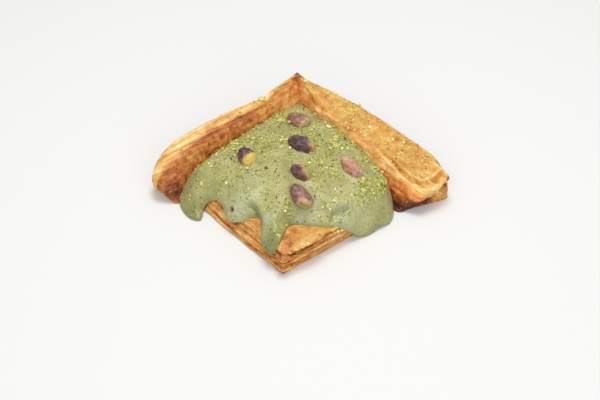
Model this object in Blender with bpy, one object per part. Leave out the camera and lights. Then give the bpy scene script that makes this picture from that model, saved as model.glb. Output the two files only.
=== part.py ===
"""Danish pastry with a raised V-shaped wall, a poured cream filling and whole kernels.

The sizes are in millimetres, along the pastry's own square axes: P runs along its
right-front edge, Q along its left-front edge, Z up, and the front corner is (0, 0).
place() turns them to the world: metres, +X to the right, +Y to the back, +Z up.
The origin is at the middle of the bounding box, on the surface that it stands on.
"""

import math
import random

import bmesh
import bpy
from mathutils import Matrix, Vector, noise
from mathutils.geometry import delaunay_2d_cdt

MM = 0.001
GAP = 0.35
SHARP_FROM = math.radians(40)

# The front corner and the turn of the right-front edge, as the pastry lies.
FRONT_X = -8.05
FRONT_Y = -65.65
TURN = math.radians(39.3)

# Raised wall. Each row is a station and the section there: the inner foot, the ridge
# (inner top edge) and its height, the crest (outer top edge) and its height, and the
# outer heel. The left wall's stations run along P and its sections across Q.
LEFT_WALL = (
    (-11, (75.5, 84.0, 15.5, 95.0, 17.0, 96.0)),
    (0, (76.5, 84.5, 21.0, 96.5, 23.5, 97.0)),
    (12, (77.0, 85.0, 24.8, 96.5, 27.0, 97.5)),
    (30, (77.5, 84.5, 27.0, 94.5, 29.5, 97.5)),
    (50, (78.0, 84.5, 28.6, 92.5, 30.5, 97.5)),
    (58, (78.0, 85.5, 29.3, 91.5, 30.5, 96.5)),
    (68, (78.5, 88.0, 31.5, 90.5, 33.3, 96.0)),
    (80, (80.5, 86.5, 35.8, 88.5, 37.0, 95.5)),
)
# The right wall's stations run along Q and its sections across P.
RIGHT_WALL = (
    (-7, (75.0, 83.5, 12.5, 103.0, 16.5, 103.5)),
    (4, (75.0, 82.5, 15.8, 104.5, 20.0, 104.0)),
    (20, (75.5, 83.0, 20.5, 102.0, 22.5, 103.5)),
    (36, (76.0, 82.0, 24.0, 99.5, 25.0, 103.0)),
    (52, (76.0, 80.5, 25.5, 95.5, 28.0, 101.0)),
    (66, (76.0, 78.5, 28.0, 90.5, 31.0, 99.0)),
    (77, (76.5, 79.0, 32.0, 84.5, 34.0, 97.0)),
    (87, (77.5, 79.5, 35.8, 81.0, 37.0, 94.0)),
)
INNER_STEPS = 7
TOP_STEPS = 8
OUTER_STEPS = 7
FOOT_STEPS = 3
STATION_STEP = 4.6
LEFT_END_ROUND = 9.0
RIGHT_END_ROUND, RIGHT_END_DROP = 3.0, 5.0
END_RINGS = 5

# The left end is rounded about this share of its radius past its first station, and both
# walls stop this far short of the back corner, where one mitred ring joins them.
LEFT_END_SHARE = 0.5
CORNER_CLEAR = 8.0

# The left end overhangs a little: below LEFT_TUCK_HEIGHT its foot lies further in.
LEFT_TUCK, LEFT_TUCK_HEIGHT = 5.5, 9.0

# The layers' edges run along the wall as small ridges, fainter on the browned skin,
# and the skin is blistered. The last size of each pair is the length of its waves.
LAYER_RELIEF, LAYER_WANDER = 0.45, 15.0
LAYER_EVEN, LAYER_VARY, LAYER_APART = 0.6, 0.4, 9.0
SKIN_SHARE = 0.3
SKIN_RELIEF, BLISTER_SIZE = 0.5, 7.0

# At the right end the layers part in a notch, towards the outside, and the foot lies
# further in, towards the inside. Both fade in from the station END_FROM.
END_FROM = 4.0
NOTCH_HEIGHT, NOTCH_SPREAD, NOTCH_DEPTH = 10.5, 1.8, 4.0
NOTCH_FROM, NOTCH_FADE = 93.0, 8.0
UNDERCUT, UNDERCUT_FROM, UNDERCUT_FADE = 7.5, 76.0, 30.0

# Flat square of dough that carries the filling. Its two front sides show their layers.
SLAB_SIDE = 88.0
SLAB_LAYERS = 5
LAYER_LIP = 0.55
LEFT_RUN, LEFT_RUN_POINTS = 60.0, 26
RIGHT_RUN, RIGHT_RUN_POINTS = 58.0, 22

# Right-front side: an upright stack of layers, then a split and the flap over it,
# each point as its reach outward and its height.
RIGHT_STACK_HEIGHT = 10.4
RIGHT_STACK_LEAN = 1.6
RIGHT_FLAP = ((-4.0, 10.8), (2.15, 11.7), (1.6, 13.6), (-2.0, 14.0), (-6.0, 13.0), (-12.0, 13.4))
# Towards the right lobe of the filling the flap sinks and draws in.
FLAP_SINK, SINK_FROM, SINK_OVER = 0.85, 18.0, 22.0

# Left-front side: the layers lean back as steps, so that their edges fan out from the
# front corner over FAN_LENGTH, the first share of it within FAN_START.
LEFT_STACK_HEIGHT = 13.0
LEFT_STACK_FOOT = 1.0
LEFT_STACK_LEAN, LEAN_CURVE = -7.5, 1.3
LEFT_SHOULDER = ((-8.0, 13.4), (-10.0, 13.8), (-11.5, 14.0), (-13.5, 14.2), (-16.5, 14.3))
FAN_LENGTH = 26.0
FAN_START, FAN_START_SHARE = 4.0, 0.15

# The rest of the square's outline lies under the filling and the walls: P, Q, the
# outward direction and the share of the left side's form.
SLAB_BACK = (
    (62.5, 1.5, (0.3, -0.9), 0.0),
    (67.0, 6.0, (0.7, -0.7), 0.0),
    (72.0, 14.0, (1.0, -0.3), 0.0),
    (80.0, 22.0, (0.7, -0.7), 0.0),
    (88.0, 30.0, (1.0, 0.0), 0.0),
    (88.0, 44.0, (1.0, 0.0), 0.0),
    (88.0, 88.0, (0.7, 0.7), 0.0),
    (66.0, 88.0, (0.0, 1.0), 0.3),
    (48.0, 88.0, (0.0, 1.0), 0.6),
    (36.0, 87.5, (0.0, 1.0), 0.8),
    (26.0, 86.0, (-0.2, 1.0), 1.0),
    (19.0, 82.5, (-0.5, 0.9), 1.0),
    (14.0, 77.5, (-0.6, 0.8), 1.0),
    (10.5, 70.5, (-0.4, 0.9), 1.0),
    (6.5, 67.2, (-0.3, 1.0), 1.0),
    (2.8, 65.4, (-0.6, 0.8), 1.0),
    (0.7, 63.0, (-0.95, 0.3), 1.0),
)
SIDE_UNEVEN, SIDE_WAVE, SIDE_STRETCH = 0.5, 9.0, 3.0
TOP_UNEVEN, TOP_WAVE = 0.35, 11.0

# Cream. Each knot of its outline gives P, Q, the height of the rim there and how full
# the shoulder is: 2 is round, 3 stays flat and then drops. From the back corner it
# runs along the right wall, the front lobes and the drip, and back by the left wall.
CREAM_CENTRE = (45.0, 44.0)
CREAM_TOP = 26.5
CREAM_OUTLINE = (
    (84, 90, 12, 2.4),
    (84, 74, 15, 2.4),
    (83, 52, 16, 2.4),
    (82, 34, 14, 2.5),
    (81, 20, 11, 2.7),
    (78.5, 9, 5, 3.0),
    (75, 2, 0.8, 3.1),
    (70, -3, 0.6, 3.2),
    (65.5, -5.4, 0.6, 3.2),
    (61.5, -5.4, 2.2, 3.2),
    (57.5, -5.2, 2.4, 3.2),
    (53.5, -5.4, 0.6, 3.2),
    (49.5, -5.2, 0.6, 3.2),
    (45.5, -4.2, 2.5, 3.0),
    (41, -3.0, 7, 3.0),
    (36, -1.0, 10.5, 2.8),
    (30, 2.3, 12.5, 2.8),
    (22.5, 8.5, 12.8, 2.7),
    (16.5, 13.5, 13, 2.6),
    (11.5, 12, 13, 2.4),
    (6, 8, 12, 2.4),
    (0.5, 6, 10, 2.4),
    (-2.2, 8.5, 9, 2.4),
    (-1.5, 13, 9, 2.4),
    (1, 18.5, 9.5, 2.4),
    (5, 23.5, 11.5, 2.5),
    (7, 28, 12, 2.6),
    (3, 34, 9.5, 2.7),
    (-0.5, 40, 7.5, 2.8),
    (-0.6, 45, 7.0, 2.8),
    (1.0, 49.5, 8.0, 2.7),
    (2.1, 53, 9.0, 2.6),
    (2.2, 56.5, 9.2, 2.5),
    (1.2, 59.5, 7.6, 2.4),
    (-0.4, 62.3, 4.5, 2.3),
    (-2.6, 62.2, 1.4, 2.2),
    (-5.5, 59.2, 0.7, 2.2),
    (-8.3, 57.8, 0.6, 2.2),
    (-10.6, 60.5, 0.6, 2.2),
    (-11.3, 65, 0.6, 2.2),
    (-10.5, 70, 0.6, 2.2),
    (-8.5, 75, 1.0, 2.2),
    (-5, 79.5, 3, 2.2),
    (4, 82, 8, 2.2),
    (18, 83, 12, 2.2),
    (34, 85, 14, 2.3),
    (52, 87, 15, 2.3),
    (68, 89, 14, 2.4),
)
OUTLINE_STEPS = 3
CREAM_SWELL, CREAM_SWELL_SIZE = 0.8, 16.0

# Its upper skin is a net of points: the rim, two rows just inside it for the rounded
# lip, and an even grid for the rest. Its underside has a coarser one.
LIP_ROWS = (0.7, 2.1)
NET_STEP, UNDER_STEP = 3.3, 7.0
CLEAR_SHARE = 0.85
EVENED, EVEN_SHARE = 3, 0.5

# The middle is a dome. Each stretch of the rim has its say in it by how near it lies,
# over RIM_REACH millimetres at the rim and RIM_SPREAD of the distance further in.
RIM_REACH, RIM_SPREAD = 1.2, 0.35

# Near its rim the cream is a sheet: a rounded lip, and the thickness that it gains
# inward, over the square of dough, whose edges count as rounded off from RISE_FROM
# outside its right-front and left-front sides.
LIP_HEIGHT, LIP_WIDTH = 2.0, 2.2
THICKEN, THICKEN_MORE = 0.25, 0.11
BED_HEIGHT, BED_BLEND = 14.2, 2.5
RISE_FROM, RISE_OVER = (6.5, 4.5), (4.5, 9.0)
MEET_SOFT, MEET_SOFTER, MEET_SPAN = 0.1, 1.0, 4.0

# Underside: it tucks in under the lip, stays low as far as the side of the dough, and
# then rises to a floor that the dough cuts away.
TUCK_IN, TUCK_DOWN, LOWEST_CREAM, HIGHEST_TUCK = 0.9, 0.8, 0.4, 10.0
CREAM_FLOOR, FLOOR_FROM, FLOOR_OVER, LEAST_THICK = 8.0, 4.0, 8.0, 1.5

# Soft folds pressed in the cream: P, Q of both ends, half-width and depth.
CREAM_FOLDS = (
    ((16, 34), (7, 22), 3.2, 1.2),
    ((40, 12), (52, 2), 3.0, 0.9),
    ((6, 62), (20, 60), 3.5, 0.8),
)

# Whole kernels: P, Q, length, width, thickness, turn of the long axis and dip.
KERNELS = (
    (62.6, 64.1, 13.0, 8.6, 7.4, -62, 8),
    (49.4, 46.3, 15.0, 8.8, 7.8, -68, 4),
    (23.3, 58.1, 12.0, 8.8, 8.0, -95, 12),
    (35.5, 29.6, 12.2, 7.6, 7.0, -78, 8),
    (58.8, 17.7, 14.5, 7.6, 7.0, -92, 14),
    (26.0, 17.9, 15.5, 9.2, 8.0, -93, 14),
)
KERNEL_SUNK = 0.36
KERNEL_SIDES = 10
KERNEL_RINGS = 7
KERNEL_BLUNT = 0.85
KERNEL_TAPER = 0.16
KERNEL_UNEVEN = 0.10
CLEFT_DEPTH, CLEFT_WIDTH = 0.10, 0.25

# Chopped nut that shows from a step away, fused to what it lies on.
SEED = 7
CREAM_BITS, CREAM_AREA = 50, ((-8, 78), (-4, 80))
WALL_BITS, WALL_AREA = 22, ((-8, 102), (-6, 96))
BIT_SIZE = (0.8, 1.45)
BIT_STRETCH = ((1.04, 1.755), (0.91, 1.3), (0.78, 1.105))
BIT_CORNER = (0.75, 1.2)
BIT_LIFT = 0.1
BIT_SPACING = 5.0
BIT_LOWEST = 12.0
BIT_FLATNESS = 0.72
CLEAR_ROUND, CLEAR_DEPTH, CLEAR_PROBES = 3.2, 3.0, 8
TRIES = 60
ABOVE_ALL = 100.0


def place(p, q, z):
    """Turn the pastry's own millimetres to world metres."""
    x = FRONT_X + p * math.cos(TURN) - q * math.sin(TURN)
    y = FRONT_Y + p * math.sin(TURN) + q * math.cos(TURN)
    return Vector((x, y, z)) * MM


def clamp(value, low=0.0, high=1.0):
    return max(low, min(high, value))


def ease(value):
    value = clamp(value)
    return value * value * (3.0 - 2.0 * value)


def follow(knots, s):
    """Read the row of sizes at station s, on a smooth curve through the knots."""
    last = len(knots) - 1
    i = max(k for k in range(last) if k == 0 or knots[k][0] <= s)
    s0, row0 = knots[i]
    s1, row1 = knots[i + 1]
    before = knots[max(i - 1, 0)]
    after = knots[min(i + 2, last)]
    span = s1 - s0
    t = (s - s0) / span
    values = []
    for k in range(len(row0)):
        slope0 = (row1[k] - before[1][k]) / (s1 - before[0]) * span
        slope1 = (after[1][k] - row0[k]) / (after[0] - s0) * span
        values.append(
            (2 * t**3 - 3 * t**2 + 1) * row0[k]
            + (t**3 - 2 * t**2 + t) * slope0
            + (3 * t**2 - 2 * t**3) * row1[k]
            + (t**3 - t**2) * slope1
        )
    return values


def rough(x, y, z, size):
    """Smooth seeded-by-place unevenness between -1 and 1."""
    return noise.noise(Vector((x, y, z)) / size)


def solid(name, points, faces, material=None):
    """One object from world points and faces, with every face turned outward."""
    mesh = bpy.data.meshes.new(name)
    mesh.from_pydata([tuple(point) for point in points], [], faces)
    shell = bmesh.new()
    shell.from_mesh(mesh)
    bmesh.ops.recalc_face_normals(shell, faces=shell.faces)
    bmesh.ops.triangulate(shell, faces=shell.faces)
    shell.to_mesh(mesh)
    shell.free()
    if material:
        mesh.materials.append(material)
    made = bpy.data.objects.new(name, mesh)
    bpy.context.scene.collection.objects.link(made)
    return made


def finish_material(name, colour, roughness):
    material = bpy.data.materials.new(name)
    material.use_nodes = True
    shader = material.node_tree.nodes["Principled BSDF"]
    shader.inputs["Base Color"].default_value = (*colour, 1.0)
    shader.inputs["Roughness"].default_value = roughness
    shader.inputs["Metallic"].default_value = 0.0
    return material


def loft(name, rings, material=None):
    """Skin a row of closed rings, and close both ends with a fan."""
    points = [point for ring in rings for point in ring]
    count = len(rings[0])
    faces = []
    for i in range(len(rings) - 1):
        for j in range(count):
            k = (j + 1) % count
            faces.append((i * count + j, i * count + k, (i + 1) * count + k, (i + 1) * count + j))
    for first in (0, (len(rings) - 1) * count):
        ring = points[first:first + count]
        points.append(sum(ring, Vector()) / count)
        faces += [(first + j, first + (j + 1) % count, len(points) - 1) for j in range(count)]
    return solid(name, points, faces, material)


def combine(target, tools, operation, solver="EXACT"):
    """Boolean of one object with a list of others, applied, and the others removed.

    A grown copy folds over itself in the creases, which only MANIFOLD takes.
    """
    group = bpy.data.collections.new("tools")
    for tool in tools:
        group.objects.link(tool)
    modifier = target.modifiers.new(operation, "BOOLEAN")
    modifier.operation = operation
    modifier.operand_type = "COLLECTION"
    modifier.collection = group
    modifier.solver = solver
    bpy.context.view_layer.update()
    depsgraph = bpy.context.evaluated_depsgraph_get()
    mesh = bpy.data.meshes.new_from_object(target.evaluated_get(depsgraph))
    target.modifiers.clear()
    mesh.name = target.name
    target.data = mesh
    for tool in tools:
        bpy.data.objects.remove(tool)
    bpy.data.collections.remove(group)


def grown_copy(source, amount):
    """A copy of an object, moved out along its normals by an amount in millimetres."""
    copy = bpy.data.objects.new("grown", source.data.copy())
    copy.location = source.location
    copy.rotation_euler = source.rotation_euler
    bpy.context.scene.collection.objects.link(copy)
    shell = bmesh.new()
    shell.from_mesh(copy.data)
    shell.normal_update()
    moves = [vertex.normal * amount * MM for vertex in shell.verts]
    for vertex, move in zip(shell.verts, moves):
        vertex.co += move
    shell.to_mesh(copy.data)
    shell.free()
    return copy


def keep_largest(target):
    """Drop the scraps and sealed pockets that a cut leaves beside the main skin."""
    shell = bmesh.new()
    shell.from_mesh(target.data)
    left = set(shell.faces)
    skins = []
    while left:
        stack = [left.pop()]
        skin = list(stack)
        while stack:
            for edge in stack.pop().edges:
                for face in edge.link_faces:
                    if face in left:
                        left.discard(face)
                        skin.append(face)
                        stack.append(face)
        skins.append(skin)
    main = max(skins, key=len)
    scraps = [face for skin in skins if skin is not main for face in skin]
    bmesh.ops.delete(shell, geom=scraps, context="FACES")
    bmesh.ops.triangulate(shell, faces=shell.faces)
    shell.to_mesh(target.data)
    shell.free()
    bpy.context.view_layer.update()


def shade_round(target):
    """Shade the round skin smooth, and keep the broken and cut edges crisp."""
    target.data.shade_smooth()
    target.data.set_sharp_from_angle(angle=SHARP_FROM)


# ---- raised wall ---------------------------------------------------------------


def wall_section(foot, ridge, ridge_z, crest, crest_z, heel):
    """Closed outline of the wall's section as (across, height), from the inner foot."""
    corners = ((foot, 0.0), (ridge, ridge_z), (crest, crest_z), (heel, 0.0), (foot, 0.0))
    steps = (INNER_STEPS, TOP_STEPS, OUTER_STEPS, FOOT_STEPS)
    section = []
    for (a0, z0), (a1, z1), count in zip(corners, corners[1:], steps):
        for k in range(count):
            section.append((a0 + (a1 - a0) * k / count, z0 + (z1 - z0) * k / count))
    return section


def soften(section):
    """Round the two upper edges, and leave the foot flat on the surface."""
    top = INNER_STEPS + TOP_STEPS + OUTER_STEPS
    rounded = list(section)
    for j in range(1, top):
        (a0, z0), (a1, z1), (a2, z2) = section[j - 1], section[j], section[j + 1]
        rounded[j] = ((a0 + 2 * a1 + a2) / 4, (z0 + 2 * z1 + z2) / 4)
    return rounded


def wall_relief(section, s, side, fade=1.0):
    """Press the layers' edges and the blistered skin into a section."""
    top = INNER_STEPS + TOP_STEPS + OUTER_STEPS
    pressed = list(section)
    for j in range(1, top):
        across = section[j + 1][0] - section[j - 1][0]
        rise = section[j + 1][1] - section[j - 1][1]
        length = math.hypot(across, rise)
        out = (-rise / length, across / length)
        skin = j < INNER_STEPS if side == "left" else INNER_STEPS <= j < INNER_STEPS + TOP_STEPS
        wander = LAYER_EVEN + LAYER_VARY * rough(s, LAYER_APART * j, 0.0, LAYER_WANDER)
        layered = LAYER_RELIEF * wander * (1 if j % 2 else -1) * (SKIN_SHARE if skin else 1.0)
        blister = SKIN_RELIEF * rough(s, section[j][0], section[j][1], BLISTER_SIZE)
        push = fade * (layered + blister)
        pressed[j] = (section[j][0] + out[0] * push, section[j][1] + out[1] * push)
    return pressed


def round_end(section, turn, radius, drop):
    """Narrow a section and bring it down, as the rounded end of the wall does."""
    near = min(point[0] for point in section)
    far = max(point[0] for point in section)
    height = max(point[1] for point in section)
    share = 1.0 - math.cos(turn)
    narrow = 1.0 - 2.0 * radius * share / (far - near)
    middle = (near + far) / 2.0
    return [
        (middle + (across - middle) * narrow, z * (1.0 - drop * share / height))
        for across, z in section
    ]


def wall_rings():
    """All sections of the V, from the left end over the back corner to the right end."""
    rings = []

    def left(s, section, tuck=0.0):
        ring = []
        for across, z in section:
            ring.append(place(s + tuck * (1.0 - ease(z / LEFT_TUCK_HEIGHT)), across, z))
        rings.append(ring)

    def right(s, section, notch=0.0, undercut=0.0):
        ring = []
        for across, z in section:
            outside = ease((across - NOTCH_FROM) / NOTCH_FADE)
            inside = 1.0 - ease((across - UNDERCUT_FROM) / UNDERCUT_FADE)
            bite = notch * math.exp(-(((z - NOTCH_HEIGHT) / NOTCH_SPREAD) ** 2)) * outside
            bite += undercut * ease(1.0 - z / NOTCH_HEIGHT) * inside
            ring.append(place(across, s + bite, z))
        rings.append(ring)

    first, last = LEFT_WALL[0][0], LEFT_WALL[-1][0]
    for k in range(END_RINGS, 0, -1):
        turn = 0.5 * math.pi * k / END_RINGS
        s = first - LEFT_END_ROUND * (math.sin(turn) - LEFT_END_SHARE)
        section = soften(soften(wall_section(*LEFT_WALL[0][1])))
        section = wall_relief(section, s, "left", math.cos(turn))
        section = round_end(section, turn, LEFT_END_ROUND, LEFT_END_ROUND)
        left(s, section, LEFT_TUCK * math.sin(turn) ** 2)
    run = last - first - CORNER_CLEAR
    count = round(run / STATION_STEP)
    for k in range(1, count + 1):
        s = first + run * k / count
        section = soften(soften(wall_section(*follow(LEFT_WALL, s))))
        left(s, wall_relief(section, s, "left"))

    corner_q = soften(wall_section(*LEFT_WALL[-1][1]))
    corner_p = soften(wall_section(*RIGHT_WALL[-1][1]))
    rings.append([place(p, q, z) for (p, _), (q, z) in zip(corner_p, corner_q)])

    first, last = RIGHT_WALL[-1][0], RIGHT_WALL[0][0]
    run = first - last - CORNER_CLEAR
    count = round(run / STATION_STEP)
    for k in range(count + 1):
        s = last + run * (1.0 - k / count)
        section = soften(wall_section(*follow(RIGHT_WALL, s)))
        near_end = ease((END_FROM - s) / (END_FROM - last))
        right(s, wall_relief(section, s, "right"), 0.5 * NOTCH_DEPTH * near_end, UNDERCUT * near_end)
    for k in range(1, END_RINGS + 1):
        turn = 0.5 * math.pi * k / END_RINGS
        s = last - RIGHT_END_ROUND * math.sin(turn)
        section = wall_relief(soften(wall_section(*RIGHT_WALL[0][1])), s, "right")
        section = round_end(section, turn, RIGHT_END_ROUND, RIGHT_END_DROP)
        right(s, section, NOTCH_DEPTH, UNDERCUT)
    return rings


# ---- flat square of dough ------------------------------------------------------


def layer_stack(height, leans, groove):
    """Layers of dough seen edge on, from the foot up, as (outward, height)."""
    thickness = height / SLAB_LAYERS
    side = [(0.0, 0.0)]
    for k, lean in enumerate(leans):
        side.append((lean + LAYER_LIP, (k + 0.5) * thickness))
        side.append((lean - groove, (k + 0.95) * thickness))
    return side


def right_side():
    """Right-front side: the stack of layers, with the split in place of its last groove."""
    leans = [RIGHT_STACK_LEAN * (k + 0.5) / SLAB_LAYERS for k in range(SLAB_LAYERS)]
    return layer_stack(RIGHT_STACK_HEIGHT, leans, LAYER_LIP)[:-1] + list(RIGHT_FLAP)


def left_side():
    """Left-front side: stepped layers, then the shoulder that the filling lies on."""
    leans = [
        LEFT_STACK_FOOT + LEFT_STACK_LEAN * (k / SLAB_LAYERS) ** LEAN_CURVE
        for k in range(SLAB_LAYERS)
    ]
    return layer_stack(LEFT_STACK_HEIGHT, leans, 2.0 * LAYER_LIP) + list(LEFT_SHOULDER)


def slab_outline():
    """Points round the square: P, Q, the outward direction and the share of left side."""
    outline = []
    for k in range(LEFT_RUN_POINTS):
        q = LEFT_RUN * (1.0 - k / LEFT_RUN_POINTS)
        share = (1.0 - FAN_START_SHARE) * ease(q / FAN_LENGTH)
        share += FAN_START_SHARE * ease(q / FAN_START)
        outline.append((0.0, q, (-1.0, 0.0), share))
    outline.append((0.0, 0.0, (-math.sqrt(0.5), -math.sqrt(0.5)), 0.0))
    for k in range(1, RIGHT_RUN_POINTS + 1):
        outline.append((RIGHT_RUN * k / RIGHT_RUN_POINTS, 0.0, (0.0, -1.0), 0.0))
    return outline + list(SLAB_BACK)


def inset(p, q, out, reach):
    """Move a point of the outline outward, or draw it in as the whole square shrinks."""
    if reach > 0.0:
        return p + out[0] * reach, q + out[1] * reach
    half = SLAB_SIDE / 2.0
    shrink = 1.0 + reach / half
    return half + (p - half) * shrink, half + (q - half) * shrink


def slab_rings():
    """The square's sides and its upper skin, as rings from the foot to the middle."""
    outline = slab_outline()
    rings = []
    for (right_out, right_z), (left_out, left_z) in zip(right_side(), left_side()):
        ring = []
        for p, q, out, share in outline:
            reach = right_out + (left_out - right_out) * share
            z = right_z + (left_z - right_z) * share
            if z > RIGHT_STACK_HEIGHT:
                sink = FLAP_SINK * ease((p - SINK_FROM) / SINK_OVER)
                z -= (z - RIGHT_STACK_HEIGHT) * sink
                reach -= max(reach, 0.0) * sink
            if z > 0.0:
                reach += SIDE_UNEVEN * rough(p, q, SIDE_STRETCH * z, SIDE_WAVE)
                z += TOP_UNEVEN * rough(q, p, z, TOP_WAVE)
            ring.append(place(*inset(p, q, out, reach), z))
        rings.append(ring)
    return rings


# ---- cream -----------------------------------------------------------------------


def cream_outline():
    """Smooth closed curve through the cream's knots: P, Q, rim height, shoulder."""
    count = len(CREAM_OUTLINE)
    curve = []
    for i in range(count):
        a, b, c, d = (CREAM_OUTLINE[(i + k) % count] for k in (-1, 0, 1, 2))
        for step in range(OUTLINE_STEPS):
            t = step / OUTLINE_STEPS
            curve.append([
                0.5 * (
                    2 * b[m]
                    + (c[m] - a[m]) * t
                    + (2 * a[m] - 5 * b[m] + 4 * c[m] - d[m]) * t**2
                    + (3 * b[m] - a[m] - 3 * c[m] + d[m]) * t**3
                )
                for m in range(4)
            ])
    return curve


def fold_depth(p, q):
    """How deep the soft folds press the cream at one place."""
    depth = 0.0
    for (p0, q0), (p1, q1), width, deep in CREAM_FOLDS:
        along_p, along_q = p1 - p0, q1 - q0
        t = clamp(((p - p0) * along_p + (q - q0) * along_q) / (along_p**2 + along_q**2))
        away = math.hypot(p - p0 - t * along_p, q - q0 - t * along_q)
        depth += deep * math.exp(-((away / width) ** 2))
    return depth


def rim_from(p, q, curve):
    """For each stretch of the rim: distance, and its height and fullness nearest by."""
    found = []
    for a, b in zip(curve, curve[1:] + curve[:1]):
        along_p, along_q = b[0] - a[0], b[1] - a[1]
        t = clamp(((p - a[0]) * along_p + (q - a[1]) * along_q) / (along_p**2 + along_q**2))
        gap = math.hypot(p - a[0] - t * along_p, q - a[1] - t * along_q)
        found.append((gap, a[2] + (b[2] - a[2]) * t, a[3] + (b[3] - a[3]) * t))
    return found


def weighed(found, reach):
    """Mean distance, height and fullness of the rim, the nearest stretches first."""
    away = min(gap for gap, _, _ in found)
    weights = [math.exp((away - gap) / reach) for gap, _, _ in found]
    return [
        sum(weight * row[m] for weight, row in zip(weights, found)) / sum(weights)
        for m in range(3)
    ]


def sheet_height(p, q, away, rim):
    """Height of the cream as a sheet that lies over the square of dough."""
    bed = BED_HEIGHT * ease((q + RISE_FROM[0]) / RISE_OVER[0])
    bed *= ease((p + RISE_FROM[1]) / RISE_OVER[1])
    lift = max(bed - rim, 0.0) * ease(away / BED_BLEND)
    lip = math.sqrt(1.0 - (1.0 - clamp(away / LIP_WIDTH)) ** 2)
    return rim + lift + LIP_HEIGHT * lip + THICKEN * away + THICKEN_MORE * away**2


def lower_of(a, b, soft):
    """The lower of two heights, rounded where they cross."""
    low = min(a, b)
    return low - soft * math.log(math.exp((low - a) / soft) + math.exp((low - b) / soft))


def cream_height(p, q, found):
    """Height of the cream's upper skin: a dome, and a sheet near the rim."""
    away = min(gap for gap, _, _ in found)
    _, rim, _ = weighed(found, RIM_REACH)
    far, calm_rim, full = weighed(found, RIM_REACH + RIM_SPREAD * away)
    out = math.hypot(p - CREAM_CENTRE[0], q - CREAM_CENTRE[1])
    shoulder = (1.0 - (out / (out + far)) ** full) ** (1.0 / full)
    dome = calm_rim + (CREAM_TOP - calm_rim) * shoulder
    softness = MEET_SOFT + MEET_SOFTER * ease(away / MEET_SPAN)
    z = lower_of(dome, sheet_height(p, q, away, rim), softness)
    uneven = CREAM_SWELL * rough(p, q, 0.0, CREAM_SWELL_SIZE) - fold_depth(p, q)
    return z + shoulder * ease(away / MEET_SPAN) * uneven


def floor_height(p, q, found):
    """Height of the cream's underside."""
    away = min(gap for gap, _, _ in found)
    _, rim, _ = weighed(found, RIM_REACH)
    low = clamp(rim - TUCK_DOWN, LOWEST_CREAM, HIGHEST_TUCK)
    high = min(CREAM_FLOOR, cream_height(p, q, found) - LEAST_THICK)
    return low + (high - low) * ease((away - FLOOR_FROM) / FLOOR_OVER)


def row_inside(curve, inward):
    """The outline's points moved inward, each with its distance from the outline."""
    row = []
    for i, (p, q, *_) in enumerate(curve):
        before, after = curve[i - 1], curve[(i + 1) % len(curve)]
        along_p, along_q = after[0] - before[0], after[1] - before[1]
        length = math.hypot(along_p, along_q)
        p, q = p + inward * along_q / length, q - inward * along_p / length
        row.append((p, q, min(gap for gap, _, _ in rim_from(p, q, curve))))
    return row


def is_inside(p, q, curve):
    """Whether a place lies within the outline."""
    inside = False
    for a, b in zip(curve, curve[1:] + curve[:1]):
        if (a[1] > q) != (b[1] > q) and p < a[0] + (b[0] - a[0]) * (q - a[1]) / (b[1] - a[1]):
            inside = not inside
    return inside


def net(border, rows, step, curve):
    """Triangles within a closed border, over rows of points and an even grid."""
    points = [Vector((p, q)) for p, q, *_ in border]
    edge_count = len(points)
    points += [Vector((p, q)) for p, q in rows]
    clear = step * CLEAR_SHARE + (max(LIP_ROWS) if rows else 0.0)
    low_p, high_p = min(a[0] for a in curve), max(a[0] for a in curve)
    low_q, high_q = min(a[1] for a in curve), max(a[1] for a in curve)
    for j in range(int((high_q - low_q) / (step * math.sqrt(0.75))) + 1):
        q = low_q + j * step * math.sqrt(0.75)
        for i in range(int((high_p - low_p) / step) + 1):
            p = low_p + (i + 0.5 * (j % 2)) * step
            if is_inside(p, q, curve) and min(rim_from(p, q, curve))[0] > clear:
                points.append(Vector((p, q)))
    edges = [(i, (i + 1) % edge_count) for i in range(edge_count)]
    flat, _, faces, *_ = delaunay_2d_cdt(points, edges, [], 1, 1e-6)
    return [tuple(point) for point in flat], faces


def evened(heights, faces, kept):
    """Heights evened out with their neighbours', except the first few that are kept."""
    near = [set() for _ in heights]
    for face in faces:
        for i in face:
            near[i].update(face)
    for _ in range(EVENED):
        mean = [sum(heights[j] for j in around) / max(len(around), 1) for around in near]
        heights = [
            z if i < kept else z + (mean[i] - z) * EVEN_SHARE for i, z in enumerate(heights)
        ]
    return heights


def cream_body(material):
    """The poured filling: a dome whose rim drops over the edges, with a low underside."""
    curve = cream_outline()
    rows = []
    for inward in LIP_ROWS:
        rows += [(p, q) for p, q, away in row_inside(curve, inward) if away > CLEAR_SHARE * inward]
    upper, upper_faces = net(curve, rows, NET_STEP, curve)
    heights = [cream_height(p, q, rim_from(p, q, curve)) for p, q in upper]
    heights = evened(heights, upper_faces, len(curve) + len(rows))

    tucked = row_inside(curve, TUCK_IN)
    lower, lower_faces = net(tucked, [], UNDER_STEP, curve)
    floors = [floor_height(p, q, rim_from(p, q, curve)) for p, q in lower]

    count, first = len(curve), len(upper)
    side = [
        (i, (i + 1) % count, first + (i + 1) % count, first + i)
        for i in range(count)
    ]
    points = [place(p, q, z) for (p, q), z in zip(upper, heights)]
    points += [place(p, q, z) for (p, q), z in zip(lower, floors)]
    faces = list(upper_faces) + side + [[first + i for i in face] for face in lower_faces]
    return solid("cream", points, faces, material)


# ---- kernels and chopped nut -------------------------------------------------------


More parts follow.
